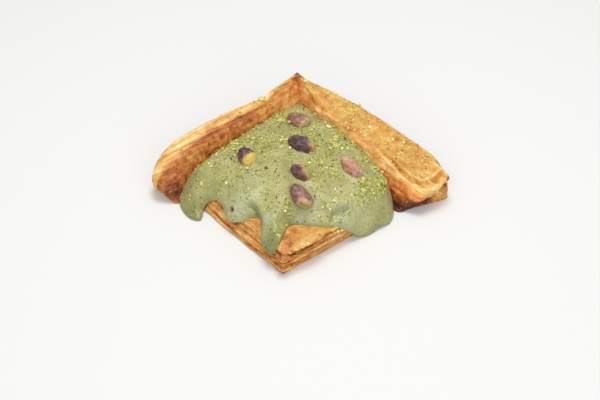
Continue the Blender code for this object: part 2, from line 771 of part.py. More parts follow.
def kernel_points(length, width, thickness, seed):
    """Rings of an uneven kernel, long along X, with a blunt and a pointed end."""
    rings = []
    for i in range(1, KERNEL_RINGS):
        angle = math.pi * i / KERNEL_RINGS
        along = math.cos(angle)
        girth = math.sin(angle) ** KERNEL_BLUNT * (1.0 + KERNEL_TAPER * along)
        ring = []
        for j in range(KERNEL_SIDES):
            across = math.cos(math.tau * j / KERNEL_SIDES)
            up = math.sin(math.tau * j / KERNEL_SIDES)
            bump = 1.0 + KERNEL_UNEVEN * noise.noise(Vector((2.0 * along, across + seed, up)))
            cleft = 1.0
            if across > 0.0:
                cleft -= CLEFT_DEPTH * math.exp(-((up / CLEFT_WIDTH) ** 2))
            ring.append(Vector((
                0.5 * length * along,
                0.5 * width * girth * across * cleft * bump,
                0.5 * thickness * girth * up * bump,
            )) * MM)
        rings.append(ring)
    return rings


def kernel(index, ground, material):
    """One whole kernel, lying on the cream and sunk a little into it."""
    p, q, length, width, thickness, turn, dip = KERNELS[index]
    rings = kernel_points(length, width, thickness, 10.0 * index)
    made = loft("nut_kernel_%d" % (index + 1), rings, material)
    made.location = place(p, q, ground + thickness * (0.5 - KERNEL_SUNK))
    made.rotation_euler = (0.0, math.radians(dip), TURN + math.radians(turn))
    return made


def nut_bit(centre, size, draw):
    """A broken bit of nut: an uneven eight-cornered lump."""
    shell = bmesh.new()
    bmesh.ops.create_cube(shell, size=size * MM)
    stretch = Vector([draw.uniform(*limits) for limits in BIT_STRETCH])
    spin = Matrix.Rotation(draw.uniform(0.0, math.tau), 3, "Z")
    for vertex in shell.verts:
        shaped = Vector(a * b for a, b in zip(vertex.co, stretch)) * draw.uniform(*BIT_CORNER)
        vertex.co = centre + spin @ shaped
    bmesh.ops.triangulate(shell, faces=shell.faces)
    mesh = bpy.data.meshes.new("bit")
    shell.to_mesh(mesh)
    shell.free()
    made = bpy.data.objects.new("bit", mesh)
    bpy.context.scene.collection.objects.link(made)
    return made


def surface(target, p, q):
    """Height in millimetres and flatness of an object's upper skin at one place, or None."""
    there = target.matrix_world
    back = there.inverted()
    down = back.to_3x3() @ Vector((0.0, 0.0, -1.0))
    hit, spot, normal, _ = target.ray_cast(back @ place(p, q, ABOVE_ALL), down)
    if not hit:
        return None
    return (there @ spot).z / MM, (there.to_3x3() @ normal).z


def crowded(others, p, q, z):
    """Whether another object reaches up to height z beside the place P, Q."""
    for other in others:
        for k in range(CLEAR_PROBES):
            turn = math.tau * k / CLEAR_PROBES
            beside = surface(other, p + CLEAR_ROUND * math.cos(turn), q + CLEAR_ROUND * math.sin(turn))
            if beside and beside[0] > z - CLEAR_DEPTH:
                return True
    return False


def scatter(target, others, count, area, seed):
    """Bits spread over an area of the target's upper skin, clear of the other objects."""
    draw = random.Random(seed)
    bits = []
    taken = []
    for _ in range(count * TRIES):
        if len(bits) == count:
            break
        p = draw.uniform(*area[0])
        q = draw.uniform(*area[1])
        size = draw.uniform(*BIT_SIZE)
        found = surface(target, p, q)
        if not found or found[0] < BIT_LOWEST or found[1] < BIT_FLATNESS:
            continue
        if any(math.hypot(p - a, q - b) < BIT_SPACING for a, b in taken):
            continue
        if crowded(others, p, q, found[0]):
            continue
        taken.append((p, q))
        bits.append(nut_bit(place(p, q, found[0] + BIT_LIFT * size), size, draw))
    return bits


# ---- the whole ---------------------------------------------------------------------


def build_pastry(material):
    """The wall and the square of dough as one piece, and the bed that they leave."""
    pastry = loft("pastry", wall_rings(), material)
    slab = loft("slab", slab_rings())
    bed = [grown_copy(pastry, GAP), grown_copy(slab, GAP)]
    combine(pastry, [slab], "UNION")
    keep_largest(pastry)
    return pastry, bed


def build_kernels(cream, material):
    """Seat the kernels on the cream, and press their beds in it."""
    kernels = []
    for index, (p, q, *_) in enumerate(KERNELS):
        kernels.append(kernel(index, surface(cream, p, q)[0], material))
    combine(cream, [grown_copy(each, GAP) for each in kernels], "DIFFERENCE", "MANIFOLD")
    keep_largest(cream)
    return kernels


def build():
    for old in list(bpy.data.objects):
        bpy.data.objects.remove(old)
    crust = finish_material("baked crust", (0.60, 0.30, 0.09), 0.6)
    filling = finish_material("nut cream", (0.33, 0.37, 0.17), 0.45)
    skin = finish_material("kernel skin", (0.33, 0.19, 0.16), 0.6)

    pastry, bed = build_pastry(crust)
    cream = cream_body(filling)
    combine(cream, bed, "DIFFERENCE", "MANIFOLD")
    keep_largest(cream)
    kernels = build_kernels(cream, skin)

    bits = scatter(cream, [pastry] + kernels, CREAM_BITS, CREAM_AREA, SEED)
    combine(cream, bits, "UNION", "MANIFOLD")
    keep_largest(cream)
    bits = scatter(pastry, [cream], WALL_BITS, WALL_AREA, SEED + 1)
    combine(pastry, bits, "UNION", "MANIFOLD")
    keep_largest(pastry)
    for each in [pastry, cream] + kernels:
        shade_round(each)


if __name__ == "__main__":
    build()
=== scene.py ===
# %% [markdown]
# # A danish pastry, dressed around its solids
# A danish of laminated dough stands here: a flat square with a raised wall folded up
# round its back, filled with poured nut cream, and finished with whole kernels and fine
# chopped nut. The imported solids already hold its true size and main forms. This lesson
# builds the skin over them: crisp layers, blistered crust, soft cream and nut dust.
#
# The frame comes first. It loads the solids where they belong, and everything after it
# is measured from them. The finished pastry has to fit in the box of the bare solids.

# %% Load the solids
import math

import bmesh
import bpy
import numpy as np
from mathutils import Matrix, Vector
from mathutils.bvhtree import BVHTree
from mathutils.geometry import delaunay_2d_cdt


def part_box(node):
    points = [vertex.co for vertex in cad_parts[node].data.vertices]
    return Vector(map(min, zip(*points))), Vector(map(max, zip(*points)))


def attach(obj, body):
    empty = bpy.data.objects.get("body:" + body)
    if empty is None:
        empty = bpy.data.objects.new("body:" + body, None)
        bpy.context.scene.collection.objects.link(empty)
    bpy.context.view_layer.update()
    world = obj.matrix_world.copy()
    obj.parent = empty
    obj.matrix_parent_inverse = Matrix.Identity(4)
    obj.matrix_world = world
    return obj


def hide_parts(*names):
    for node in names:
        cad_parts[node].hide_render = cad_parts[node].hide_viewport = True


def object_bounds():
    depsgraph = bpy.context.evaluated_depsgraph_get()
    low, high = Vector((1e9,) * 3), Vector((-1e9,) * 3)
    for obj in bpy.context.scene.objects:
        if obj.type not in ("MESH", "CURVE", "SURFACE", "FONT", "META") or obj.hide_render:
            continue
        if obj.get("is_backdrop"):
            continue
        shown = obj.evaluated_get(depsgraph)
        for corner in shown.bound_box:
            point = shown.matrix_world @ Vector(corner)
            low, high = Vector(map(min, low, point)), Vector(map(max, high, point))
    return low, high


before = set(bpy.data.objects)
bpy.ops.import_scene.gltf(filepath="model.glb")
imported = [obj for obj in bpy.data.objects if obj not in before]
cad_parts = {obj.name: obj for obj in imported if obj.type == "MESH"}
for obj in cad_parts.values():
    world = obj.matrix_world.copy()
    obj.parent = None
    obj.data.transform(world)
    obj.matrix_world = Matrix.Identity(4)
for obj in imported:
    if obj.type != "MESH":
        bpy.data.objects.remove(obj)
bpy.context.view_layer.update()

print("solids:", sorted(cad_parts))

# %% [markdown]
# ## The pastry's own axes
# The baker folds a square sheet, so every form on it follows the two edges of that
# square. It would be awkward to describe them in X and Y, because the pastry lies
# turned. So this script works in millimetres along the pastry's own axes: P runs along
# the right-front edge, Q along the left-front edge, Z is up, and the front corner is
# zero. `lay` turns whole arrays of such points to the frame's metres.

# %% Own axes
MM = 0.001
FRONT_CORNER = (-8.05, -65.65)
TURN = math.radians(39.3)


def lay(points):
    """Turn own millimetres (P, Q, Z) to the frame's metres."""
    p, q, z = np.moveaxis(np.asarray(points, float), -1, 0)
    x = FRONT_CORNER[0] + p * math.cos(TURN) - q * math.sin(TURN)
    y = FRONT_CORNER[1] + p * math.sin(TURN) + q * math.cos(TURN)
    return np.stack((x, y, z), axis=-1) * MM


front = lay((0.0, 0.0, 0.0))
print("front corner at", [round(float(c) * 1000, 1) for c in front], "mm")

# %% [markdown]
# ## Unevenness
# Baked dough is uneven at every size, from the swell of a whole wall to the grain of
# its skin. Sculpting that by hand would take days, and a texture would vanish from the
# exported mesh. `cloud` makes smooth random hills from a seeded lattice instead. It
# works on whole arrays at once, and it gives the same hills on every run. Stretching
# its axes turns the hills to the long streaks of laminated dough.

# %% Smooth random hills


def lattice_value(cell, seed):
    """One repeatable number between -1 and 1 for each whole-number cell."""
    mixed = np.full(cell.shape[:-1], seed * 2654435761 % 2**32, np.uint64)
    for axis, prime in enumerate((73856093, 19349663, 83492791)):
        mixed = mixed ^ (cell[..., axis] * prime).astype(np.uint64)
        mixed = mixed % np.uint64(2**32) * np.uint64(2246822519) % np.uint64(2**32)
        mixed = mixed ^ (mixed >> np.uint64(15))
    return mixed / 2.0**31 - 1.0


def cloud(points, size, seed=0):
    """Smooth hills between about -1 and 1, `size` apart. `size` may differ by axis."""
    place_in = np.asarray(points, float) / size + 1000.0
    cell = np.floor(place_in).astype(np.int64)
    t = place_in - cell
    t = t * t * (3.0 - 2.0 * t)
    total = 0.0
    for corner in range(8):
        step = np.array([corner >> axis & 1 for axis in range(3)])
        weight = np.prod(np.where(step, t, 1.0 - t), axis=-1)
        total = total + weight * lattice_value(cell + step, seed)
    return total


def hills(points, size, seed=0, octaves=3):
    """Several sizes of cloud on top of each other, each half as high and half as wide."""
    total = 0.0
    for octave in range(octaves):
        total = total + cloud(points, np.asarray(size) / 2.0**octave, seed + octave) / 2.0**octave
    return total


sample = hills(np.random.default_rng(1).uniform(0, 50, (2000, 3)), 5.0)
print("hills run from", round(float(sample.min()), 2), "to", round(float(sample.max()), 2))

# %% [markdown]
# ## Soft steps and soft peaks
# Nothing on a pastry changes at a sharp line: skin passes into cut layers, and gold
# into brown. Masks painted by hand could do that, but they would be lost each time the
# mesh changes. Here places decide it, through three small curves: a soft step, a soft
# step between two given places, and a soft peak of a given width. `on_sheet` reads two
# measures as places on a flat sheet, so that hills can be laid along the dough.

# %% Soft steps and peaks


def ease(value):
    """Rise smoothly from 0 to 1 as the value does."""
    value = np.clip(value, 0.0, 1.0)
    return value * value * (3.0 - 2.0 * value)


def fade_in(value, start, full):
    """0 at `start`, 1 at `full` and smooth between. Either may be the higher one."""
    return ease((value - start) / (full - start))


def peak(value, width):
    """1 where the value is zero, falling smoothly to 0 on both sides over a width."""
    return np.exp(-((value / width) ** 2))


def on_sheet(along, across):
    """Two measures as places on a flat sheet."""
    return np.stack((along, across, 0.0 * along), axis=-1)


print("a peak falls to", round(float(peak(1.0, 1.0)), 2), "at one width from its middle")

# %% [markdown]
# ## Camera, floor and light
# The pastry is seen from in front and from about forty degrees above, through a long
# lens, so its edges hardly converge. A pale floor and large soft lights make the
# shadows open, as in a food studio: the main light hangs above and a little behind,
# which brightens the upper faces and lets the inner faces of the wall fall into shade.
# A lit room round the pastry would do too, but two lights are easier to set.

# %% Camera
CAMERA_AT = (0.000278, -0.574061, 0.476857)
CAMERA_TILT = math.radians(49.82264)
LENS, SENSOR = 85.0, 36.0

camera_data = bpy.data.cameras.new("studio_camera")
camera_data.lens = LENS
camera_data.sensor_width = SENSOR
camera = bpy.data.objects.new("studio_camera", camera_data)
camera.location = CAMERA_AT
camera.rotation_euler = (CAMERA_TILT, 0.0, 0.0)
bpy.context.scene.collection.objects.link(camera)
bpy.context.scene.camera = camera
print("camera is", round(camera.location.length, 3), "m from the middle of the pastry")

# %% Floor
FLOOR_SIDE = 4.0
FLOOR_TONE = (0.82, 0.82, 0.81, 1.0)

floor_mesh = bpy.data.meshes.new("floor")
floor_mesh.from_pydata(
    [(x * FLOOR_SIDE / 2, y * FLOOR_SIDE / 2, 0.0) for x, y in ((-1, -1), (1, -1), (1, 1), (-1, 1))],
    [],
    [(0, 1, 2, 3)],
)
floor = bpy.data.objects.new("floor", floor_mesh)
bpy.context.scene.collection.objects.link(floor)
floor_paint = bpy.data.materials.new("pale floor")
floor_paint.use_nodes = True
floor_shader = floor_paint.node_tree.nodes["Principled BSDF"]
floor_shader.inputs["Base Color"].default_value = FLOOR_TONE
floor_shader.inputs["Roughness"].default_value = 0.9
floor_mesh.materials.append(floor_paint)
floor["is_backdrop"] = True
print("floor is", FLOOR_SIDE, "m wide")

# %% Light
MAIN_AT, MAIN_SIDE, MAIN_WATTS = (0.02, 0.12, 0.85), 0.4, 3.8
FILL_AT, FILL_SIDE, FILL_WATTS = (0.05, -0.85, 0.60), 1.2, 5.6
ROOM_LIGHT = 0.48


def soft_light(name, place_at, side, watts):
    """A square studio light that faces the pastry."""
    data = bpy.data.lights.new(name, "AREA")
    data.shape = "SQUARE"
    data.size = side
    data.energy = watts
    light = bpy.data.objects.new(name, data)
    light.location = place_at
    light.rotation_euler = (-Vector(place_at)).to_track_quat("-Z", "Y").to_euler()
    bpy.context.scene.collection.objects.link(light)
    return light


soft_light("main_light", MAIN_AT, MAIN_SIDE, MAIN_WATTS)
soft_light("fill_light", FILL_AT, FILL_SIDE, FILL_WATTS)

studio = bpy.data.worlds.new("studio")
studio.use_nodes = True
studio.node_tree.nodes["Background"].inputs["Color"].default_value = (1.0, 1.0, 1.0, 1.0)
studio.node_tree.nodes["Background"].inputs["Strength"].default_value = ROOM_LIGHT
bpy.context.scene.world = studio
bpy.context.scene.view_settings.view_transform = "Standard"

# %% [markdown]
# ## From a grid of points to a mesh
# The wall, the square and the kernels are all skins over a grid: rings of points, one
# after the other. They could be modelled as plain meshes and sculpted. But a
# grid makes the next steps easy: its neighbours give the outward direction at each
# point, so relief is pushed out or pressed in by adding one number for each point. The
# same numbers are kept on the mesh, as marks, for the colours.

# %% Directions out of a grid, and finer grids


def outward(grid):
    """Unit directions out of a grid of rings, from the differences of its neighbours."""
    along = np.gradient(grid, axis=0)
    around = (np.roll(grid, -1, axis=1) - np.roll(grid, 1, axis=1)) / 2.0
    normal = np.cross(around, along)
    normal /= np.maximum(np.linalg.norm(normal, axis=2, keepdims=True), 1e-9)
    middle = grid.mean(axis=1, keepdims=True)
    if np.sum(normal * (grid - middle)) < 0.0:
        normal = -normal
    return normal


def smooth_rows(coarse, times, closed=True):
    """More points on smooth curves through the columns of a grid."""
    count = coarse.shape[1]
    spans = count if closed else count - 1
    i = np.arange(spans)

    def at(k):
        return coarse[:, (i + k) % count] if closed else coarse[:, np.clip(i + k, 0, count - 1)]

    fine = []
    for step in range(times):
        t = step / times
        fine.append(
            (-0.5 * t + t * t - 0.5 * t**3) * at(-1)
            + (1.0 - 2.5 * t * t + 1.5 * t**3) * at(0)
            + (0.5 * t + 2.0 * t * t - 1.5 * t**3) * at(1)
            + (-0.5 * t * t + 0.5 * t**3) * at(2)
        )
    stacked = np.stack(fine, axis=2)
    fine = stacked.reshape(coarse.shape[0], spans * times, *coarse.shape[2:])
    return fine if closed else np.concatenate((fine, coarse[:, -1:]), axis=1)


print("four columns become", smooth_rows(np.zeros((1, 4)), 3).shape[1], "when each span takes three")

# %% Meshes that carry marks


def shell_of(name, points, faces, marks):
    """A mesh object from own millimetres and faces, with marks on its points."""
    mesh = bpy.data.meshes.new(name)
    mesh.from_pydata(lay(points).tolist(), [], faces)
    shell = bmesh.new()
    shell.from_mesh(mesh)
    bmesh.ops.recalc_face_normals(shell, faces=shell.faces)
    shell.to_mesh(mesh)
    shell.free()
    for key, value in marks.items():
        kind = "FLOAT_VECTOR" if value.ndim == 2 else "FLOAT"
        mark = mesh.attributes.new(key, kind, "POINT")
        mark.data.foreach_set("vector" if value.ndim == 2 else "value", value.astype(np.float32).ravel())
    made = bpy.data.objects.new(name, mesh)
    bpy.context.scene.collection.objects.link(made)
    return made


def skin(name, grid, marks):
    """A mesh object over a closed grid of own millimetres, with its two ends closed."""
    rings, count = grid.shape[:2]
    index = np.arange(rings * count).reshape(rings, count)
    nxt = np.roll(index, -1, axis=1)
    faces = np.stack((index[:-1], nxt[:-1], nxt[1:], index[1:]), axis=-1).reshape(-1, 4).tolist()
    points = grid.reshape(-1, 3)
    values = {key: value.reshape(-1, *value.shape[2:]) for key, value in marks.items()}
    for ring in (0, rings - 1):
        middle = len(points)
        points = np.vstack((points, grid[ring].mean(axis=0)))
        for key, value in values.items():
            values[key] = np.concatenate((value, marks[key][ring].mean(axis=0)[None]))
        faces += [(int(a), int(b), middle) for a, b in zip(index[ring], nxt[ring])]
    return shell_of(name, points, faces, values)


print("meshes before the pastry's own skins:", len(bpy.data.meshes))

# %% [markdown]
# ## The raised wall
# The wall is a strip of layered dough, folded up along the two back edges of the
# square. The solids hold it as a row of sections, each told by its foot, its inner
# ridge, its outer crest and its heel. A bent and bevelled box would be quicker, but it
# could not follow how the wall swells and leans. So the same sections are read here at
# stations less than a millimetre apart, which leaves room for relief between them.

# %% The wall's stations
# A row for each station: how far along the wall it stands, then its foot, its inner ridge
# and the ridge's height, its outer crest and the crest's height, and its heel.
LEFT_WALL = (
    (-11, (75.5, 84.0, 15.5, 95.0, 17.0, 96.0)),
    (0, (76.5, 84.5, 21.0, 96.5, 23.5, 97.0)),
    (12, (77.0, 85.0, 24.8, 96.5, 27.0, 97.5)),
    (30, (77.5, 84.5, 27.0, 94.5, 29.5, 97.5)),
    (50, (78.0, 84.5, 28.6, 92.5, 30.5, 97.5)),
    (58, (78.0, 85.5, 29.3, 91.5, 30.5, 96.5)),
    (68, (78.5, 88.0, 31.5, 90.5, 33.3, 96.0)),
    (80, (80.5, 86.5, 35.8, 88.5, 37.0, 95.5)),
)
RIGHT_WALL = (
    (-7, (75.0, 83.5, 12.5, 103.0, 16.5, 103.5)),
    (4, (75.0, 82.5, 15.8, 104.5, 20.0, 104.0)),
    (20, (75.5, 83.0, 20.5, 102.0, 22.5, 103.5)),
    (36, (76.0, 82.0, 24.0, 99.5, 25.0, 103.0)),
    (52, (76.0, 80.5, 25.5, 95.5, 28.0, 101.0)),
    (66, (76.0, 78.5, 28.0, 90.5, 31.0, 99.0)),
    (77, (76.5, 79.0, 32.0, 84.5, 34.0, 97.0)),
    (87, (77.5, 79.5, 35.8, 81.0, 37.0, 94.0)),
)

print("stations of the left and the right wall:", len(LEFT_WALL), "and", len(RIGHT_WALL))

# %% Sections between the stations
# Points on a section's inner face, top, outer face and foot, and where each face ends.
SECTION_STEPS = (7, 8, 7, 3)
INNER, TOP, OUTER = (sum(SECTION_STEPS[:faces]) for faces in (1, 2, 3))


def follow(table, stations):
    """Read the rows of a table at many stations, on smooth curves through its knots."""
    knots = np.array([knot for knot, _ in table], float)
    rows = np.array([row for _, row in table], float)
    stations = np.clip(stations, knots[0], knots[-1])
    i = np.clip(np.searchsorted(knots, stations, side="right") - 1, 0, len(knots) - 2)
    before = np.maximum(i - 1, 0)
    after = np.minimum(i + 2, len(knots) - 1)
    span = (knots[i + 1] - knots[i])[:, None]
    t = (stations - knots[i])[:, None] / span
    slope0 = (rows[i + 1] - rows[before]) / (knots[i + 1] - knots[before])[:, None] * span
    slope1 = (rows[after] - rows[i]) / (knots[after] - knots[i])[:, None] * span
    return (
        (2 * t**3 - 3 * t**2 + 1) * rows[i]
        + (t**3 - 2 * t**2 + t) * slope0
        + (3 * t**2 - 2 * t**3) * rows[i + 1]
        + (t**3 - t**2) * slope1
    )


def wall_sections(table, stations, softer):
    """Closed sections (across, height) of the wall at many stations, with round edges."""
    foot, ridge, ridge_z, crest, crest_z, heel = follow(table, stations).T
    zero = np.zeros_like(foot)
    corners = [(foot, zero), (ridge, ridge_z), (crest, crest_z), (heel, zero), (foot, zero)]
    columns = []
    for (a0, z0), (a1, z1), count in zip(corners, corners[1:], SECTION_STEPS):
        for k in range(count):
            share = k / count
            columns.append(np.stack((a0 + (a1 - a0) * share, z0 + (z1 - z0) * share), axis=-1))
    section = np.stack(columns, axis=1)
    for _ in range(softer):
        blurred = (np.roll(section, 1, axis=1) + 2 * section + np.roll(section, -1, axis=1)) / 4.0
        section[:, 1:OUTER] = blurred[:, 1:OUTER]
    return section


def shrink_end(section, narrower, lower):
    """Draw each section in towards its middle, and bring it down, by numbers of millimetres."""
    near = section[:, :, 0].min(axis=1)[:, None]
    far = section[:, :, 0].max(axis=1)[:, None]
    height = section[:, :, 1].max(axis=1)[:, None]
    middle = (near + far) / 2.0
    across = middle + (section[:, :, 0] - middle) * (1.0 - 2.0 * narrower[:, None] / (far - near))
    return np.stack((across, section[:, :, 1] * (1.0 - lower[:, None] / height)), axis=-1)


print("a section has", sum(SECTION_STEPS), "points before it is refined")

# %% Rings of the left wall
STATION, CORNER_CLEAR, END_TURNS = 0.62, 8.0, 14
LEFT_SOFTER = 5
LEFT_END_ROUND, LEFT_END_SHARE = 9.0, 0.5
LEFT_TUCK, LEFT_TUCK_HEIGHT = 5.5, 9.0


def left_rings():
    """The left wall's rings, from its rounded end to just short of the back corner."""
    first, last = LEFT_WALL[0][0], LEFT_WALL[-1][0] - CORNER_CLEAR
    turn = np.linspace(0.5 * math.pi, 0.0, END_TURNS)
    rounding = first - LEFT_END_ROUND * (np.sin(turn) - LEFT_END_SHARE)
    straight = np.arange(rounding[-1] + STATION, last, STATION)
    s = np.concatenate((rounding, straight))
    shrink = np.concatenate((LEFT_END_ROUND * (1.0 - np.cos(turn)), np.zeros(len(straight))))
    section = shrink_end(wall_sections(LEFT_WALL, s, LEFT_SOFTER), shrink, shrink)
    tuck = LEFT_TUCK * np.concatenate((np.sin(turn) ** 2, np.zeros(len(straight))))[:, None]
    p = s[:, None] + tuck * (1.0 - ease(section[:, :, 1] / LEFT_TUCK_HEIGHT))
    return np.stack((p, section[:, :, 0], section[:, :, 1]), axis=-1)


left = left_rings()
print("the left wall has", len(left), "rings")

# %% Rings of the right wall
RIGHT_SOFTER = 1
RIGHT_END_ROUND, RIGHT_END_DROP, END_FROM = 3.0, 5.0, 4.0
NOTCH_HEIGHT, NOTCH_SPREAD, NOTCH_DEPTH = 10.5, 1.6, 3.0
NOTCH_FROM, NOTCH_FADE = 93.0, 8.0
UNDERCUT, UNDERCUT_FROM, UNDERCUT_FADE = 7.5, 76.0, 30.0


def right_rings():
    """The right wall's rings, from just past the back corner to its ragged end."""
    first, last = RIGHT_WALL[-1][0] - CORNER_CLEAR, RIGHT_WALL[0][0]
    turn = np.linspace(0.0, 0.5 * math.pi, END_TURNS)[1:]
    straight = np.arange(first, last, -STATION)
    s = np.concatenate((straight, last - RIGHT_END_ROUND * np.sin(turn)))
    share = np.concatenate((np.zeros(len(straight)), 1.0 - np.cos(turn)))
    section = wall_sections(RIGHT_WALL, s, RIGHT_SOFTER)
    section = shrink_end(section, RIGHT_END_ROUND * share, RIGHT_END_DROP * share)
    across, z = section[:, :, 0], section[:, :, 1]
    near_end = fade_in(s, END_FROM, last)[:, None]
    outside = ease((across - NOTCH_FROM) / NOTCH_FADE)
    inside = 1.0 - ease((across - UNDERCUT_FROM) / UNDERCUT_FADE)
    bite = NOTCH_DEPTH * near_end * peak(z - NOTCH_HEIGHT, NOTCH_SPREAD) * outside
    bite += UNDERCUT * near_end * ease(1.0 - z / NOTCH_HEIGHT) * inside
    return np.stack((across, s[:, None] + bite, z), axis=-1)


right = right_rings()
print("the right wall has", len(right), "rings")

# %% The wall's grid
CORNER_SOFTER, CAP_RINGS, FINER = 1, 12, 6


def corner_ring():
    """The mitre of the two walls at the back corner."""
    left = wall_sections(LEFT_WALL, np.array([float(LEFT_WALL[-1][0])]), CORNER_SOFTER)[0]
    right = wall_sections(RIGHT_WALL, np.array([float(RIGHT_WALL[-1][0])]), CORNER_SOFTER)[0]
    return np.stack((right[:, 0], left[:, 0], left[:, 1]), axis=-1)


def between(ring_a, ring_b, step):
    """Rings that lead straight from one ring to the next, without the two themselves."""
    count = max(2, round(float(np.linalg.norm(ring_a - ring_b, axis=1).max()) / step))
    share = np.arange(1, count)[:, None, None] / count
    return ring_a + (ring_b - ring_a) * share


def close_end(ring, count):
    """Rings that close an end, shrinking to its middle."""
    share = (np.arange(1, count + 1) / (count + 1))[:, None, None]
    return ring + (ring.mean(axis=0) - ring) * share


corner = corner_ring()
wall = np.concatenate((
    close_end(left[0], CAP_RINGS)[::-1],
    left,
    between(left[-1], corner, STATION),
    corner[None],
    between(corner, right[0], STATION),
    right,
    close_end(right[-1], CAP_RINGS),
))
wall = smooth_rows(wall, FINER)
corner_at = CAP_RINGS + len(left) + len(between(left[-1], corner, STATION))
print("wall grid:", wall.shape[:2], "corner ring", corner_at)

# %% [markdown]
# ## Relief of the wall
# Laminated dough shows two faces. Where it was cut, the layers lie edge on as long thin
# ridges that run with the strip, with narrow dark grooves between them. Where it kept
# its skin, it baked to low blisters with a fine grain. Both are added as relief in the
# mesh, because a bump texture would leave the outline smooth and the export flat.
# Streaks come from hills that are stretched along the strip, and each mesh point
# remembers how browned it is and whether it lies in a groove.

# %% Streaks and grooves
STREAK_LENGTH = 26.0
WANDER, WANDER_SIZE = 1.6, (30.0, 9.0, 1.0)
GROOVE_WIDTH = 0.35


def streaks(along, across, pitch, seed):
    """Ridges (up to 1) and narrow grooves (down to -1) that run along the dough."""
    wander = WANDER * cloud(on_sheet(along, across), WANDER_SIZE, seed + 5)
    row = on_sheet(along / STREAK_LENGTH, (across + wander) / pitch)
    coarse = cloud(row, 1.0, seed)
    fine = cloud(row * (2.1, 2.3, 1.0), 1.0, seed + 1)
    return np.clip(1.25 * coarse + 0.6 * fine, -1.0, 1.0)


def groove(value):
    """Turn hills to narrow grooves: 0 on the ridges, 1 at the bottom of a groove."""
    return peak(value, GROOVE_WIDTH)


print("a groove takes up", round(float(np.mean(groove(np.linspace(-1.0, 1.0, 201)) > 0.5)), 2), "of a streak")

# %% Where each face of the wall lies
HALF_EDGE, FOOT_EDGE = 0.5, 0.6

step_along = np.linalg.norm(np.diff(wall.mean(axis=1), axis=0), axis=1)
travelled = np.concatenate(([0.0], np.cumsum(step_along)))
travelled -= travelled[corner_at]
wall_along = np.broadcast_to(travelled[:, None], wall.shape[:2]).copy()
around_step = np.linalg.norm(np.diff(wall, axis=1, append=wall[:, :1]), axis=2)
wall_around = np.cumsum(around_step, axis=1) - around_step

place_in_section = np.broadcast_to(np.arange(wall.shape[1]) / FINER, wall.shape[:2])
is_inner = fade_in(place_in_section, INNER + HALF_EDGE, INNER - HALF_EDGE)
past_ridge = fade_in(place_in_section, INNER - HALF_EDGE, INNER + HALF_EDGE)
is_top = past_ridge * fade_in(place_in_section, TOP + HALF_EDGE, TOP - HALF_EDGE)
is_outer = fade_in(place_in_section, TOP - HALF_EDGE, TOP + HALF_EDGE)
is_foot = fade_in(place_in_section, OUTER, OUTER + FOOT_EDGE)
top_share = np.clip((place_in_section - INNER) / (TOP - INNER), 0.0, 1.0)

on_left = wall_along < 0.0
end_left = fade_in(wall_along, travelled[0] + 30.0, travelled[0] + 4.0)
end_right = fade_in(wall_along, travelled[-1] - 22.0, travelled[-1] - 4.0)
left_inner, right_inner = is_inner * on_left, is_inner * ~on_left
left_top, right_top = is_top * on_left, is_top * ~on_left
print("wall runs", round(float(travelled[0])), "to", round(float(travelled[-1])), "mm")

# %% Cut layers and skin
streak_wide = streaks(wall_along, wall_around, 2.6, 11)
streak_thin = streaks(wall_along, wall_around, 1.15, 23)
blister = hills(wall, 6.0, 31, 3)
bubbles = 1.0 - np.abs(hills(wall, 3.0, 37, 2))
grain = cloud(wall, 1.1, 41)
flakes = hills(on_sheet(wall_along, wall_around), (2.2, 1.3, 1.0), 43, 3)
folds = cloud(on_sheet(wall_along, wall_around), (60.0, 4.6, 1.0), 47)

left_layers = left_top * (0.75 + 0.25 * end_left)
right_layers = 0.8 * end_right * (1.0 - 0.75 * is_inner)
layered = np.clip(is_outer + left_layers + right_layers, 0.0, 1.0)
layered = np.maximum(layered, end_left * (1.0 - 0.8 * is_inner))
skinned = 1.0 - layered
deep = 0.55 * groove(streak_wide) + 0.45 * groove(streak_thin)
print("cut layers show on", round(100.0 * float(layered.mean())), "% of the wall")

# %% [markdown]
# ## Rims, a dish and a ragged end
# The right wall's broad top is a plateau, dished inside a low rim that follows its ridge
# and turns round its end. A second rim lies on the ridge itself, and between them runs a
# furrow. A small fold of skin lies by the raised corner, a crease crosses the left wall,
# and the right end is ragged, where thin flakes stand out one over the other. They could
# be cut in by hand with a sculpting brush. Here each one is a line of points, drawn on
# the top as seen from above, and its form depends on how far a spot lies from that line.

# %% Rims, folds and creases
PLATEAU_RIM = (
    (86.0, 34.0),
    (85.6, 20.0),
    (86.0, 8.0),
    (87.2, 0.5),
    (90.0, -3.6),
    (95.0, -4.6),
    (101.0, -4.2),
)
RIDGE_RIM = ((82.6, 34.0), (83.2, 18.0), (82.9, 4.0), (84.5, -6.0), (90.0, -9.4), (99.0, -9.6))
CORNER_FOLD = ((80.5, 76.5), (79.6, 71.5), (78.4, 67.5), (77.4, 62.0))
LEFT_CREASE = ((56.2, 78.0), (56.6, 82.0), (58.0, 86.0))


def line_distance(p, q, line):
    """Distance from a line of points, signed to its left, and the share along it."""
    line = np.array(line, float)
    total = np.linalg.norm(np.diff(line, axis=0), axis=1)
    reached = np.concatenate(([0.0], np.cumsum(total))) / total.sum()
    best = np.full(p.shape, np.inf)
    side = np.zeros(p.shape)
    share = np.zeros(p.shape)
    for k, (a, b) in enumerate(zip(line, line[1:])):
        d = b - a
        t = np.clip(((p - a[0]) * d[0] + (q - a[1]) * d[1]) / (d @ d), 0.0, 1.0)
        off_p, off_q = p - a[0] - t * d[0], q - a[1] - t * d[1]
        away = np.hypot(off_p, off_q)
        nearer = away < best
        best = np.where(nearer, away, best)
        side = np.where(nearer, np.sign(d[0] * off_q - d[1] * off_p), side)
        share = np.where(nearer, reached[k] + t * (reached[k + 1] - reached[k]), share)
    return best * side, share


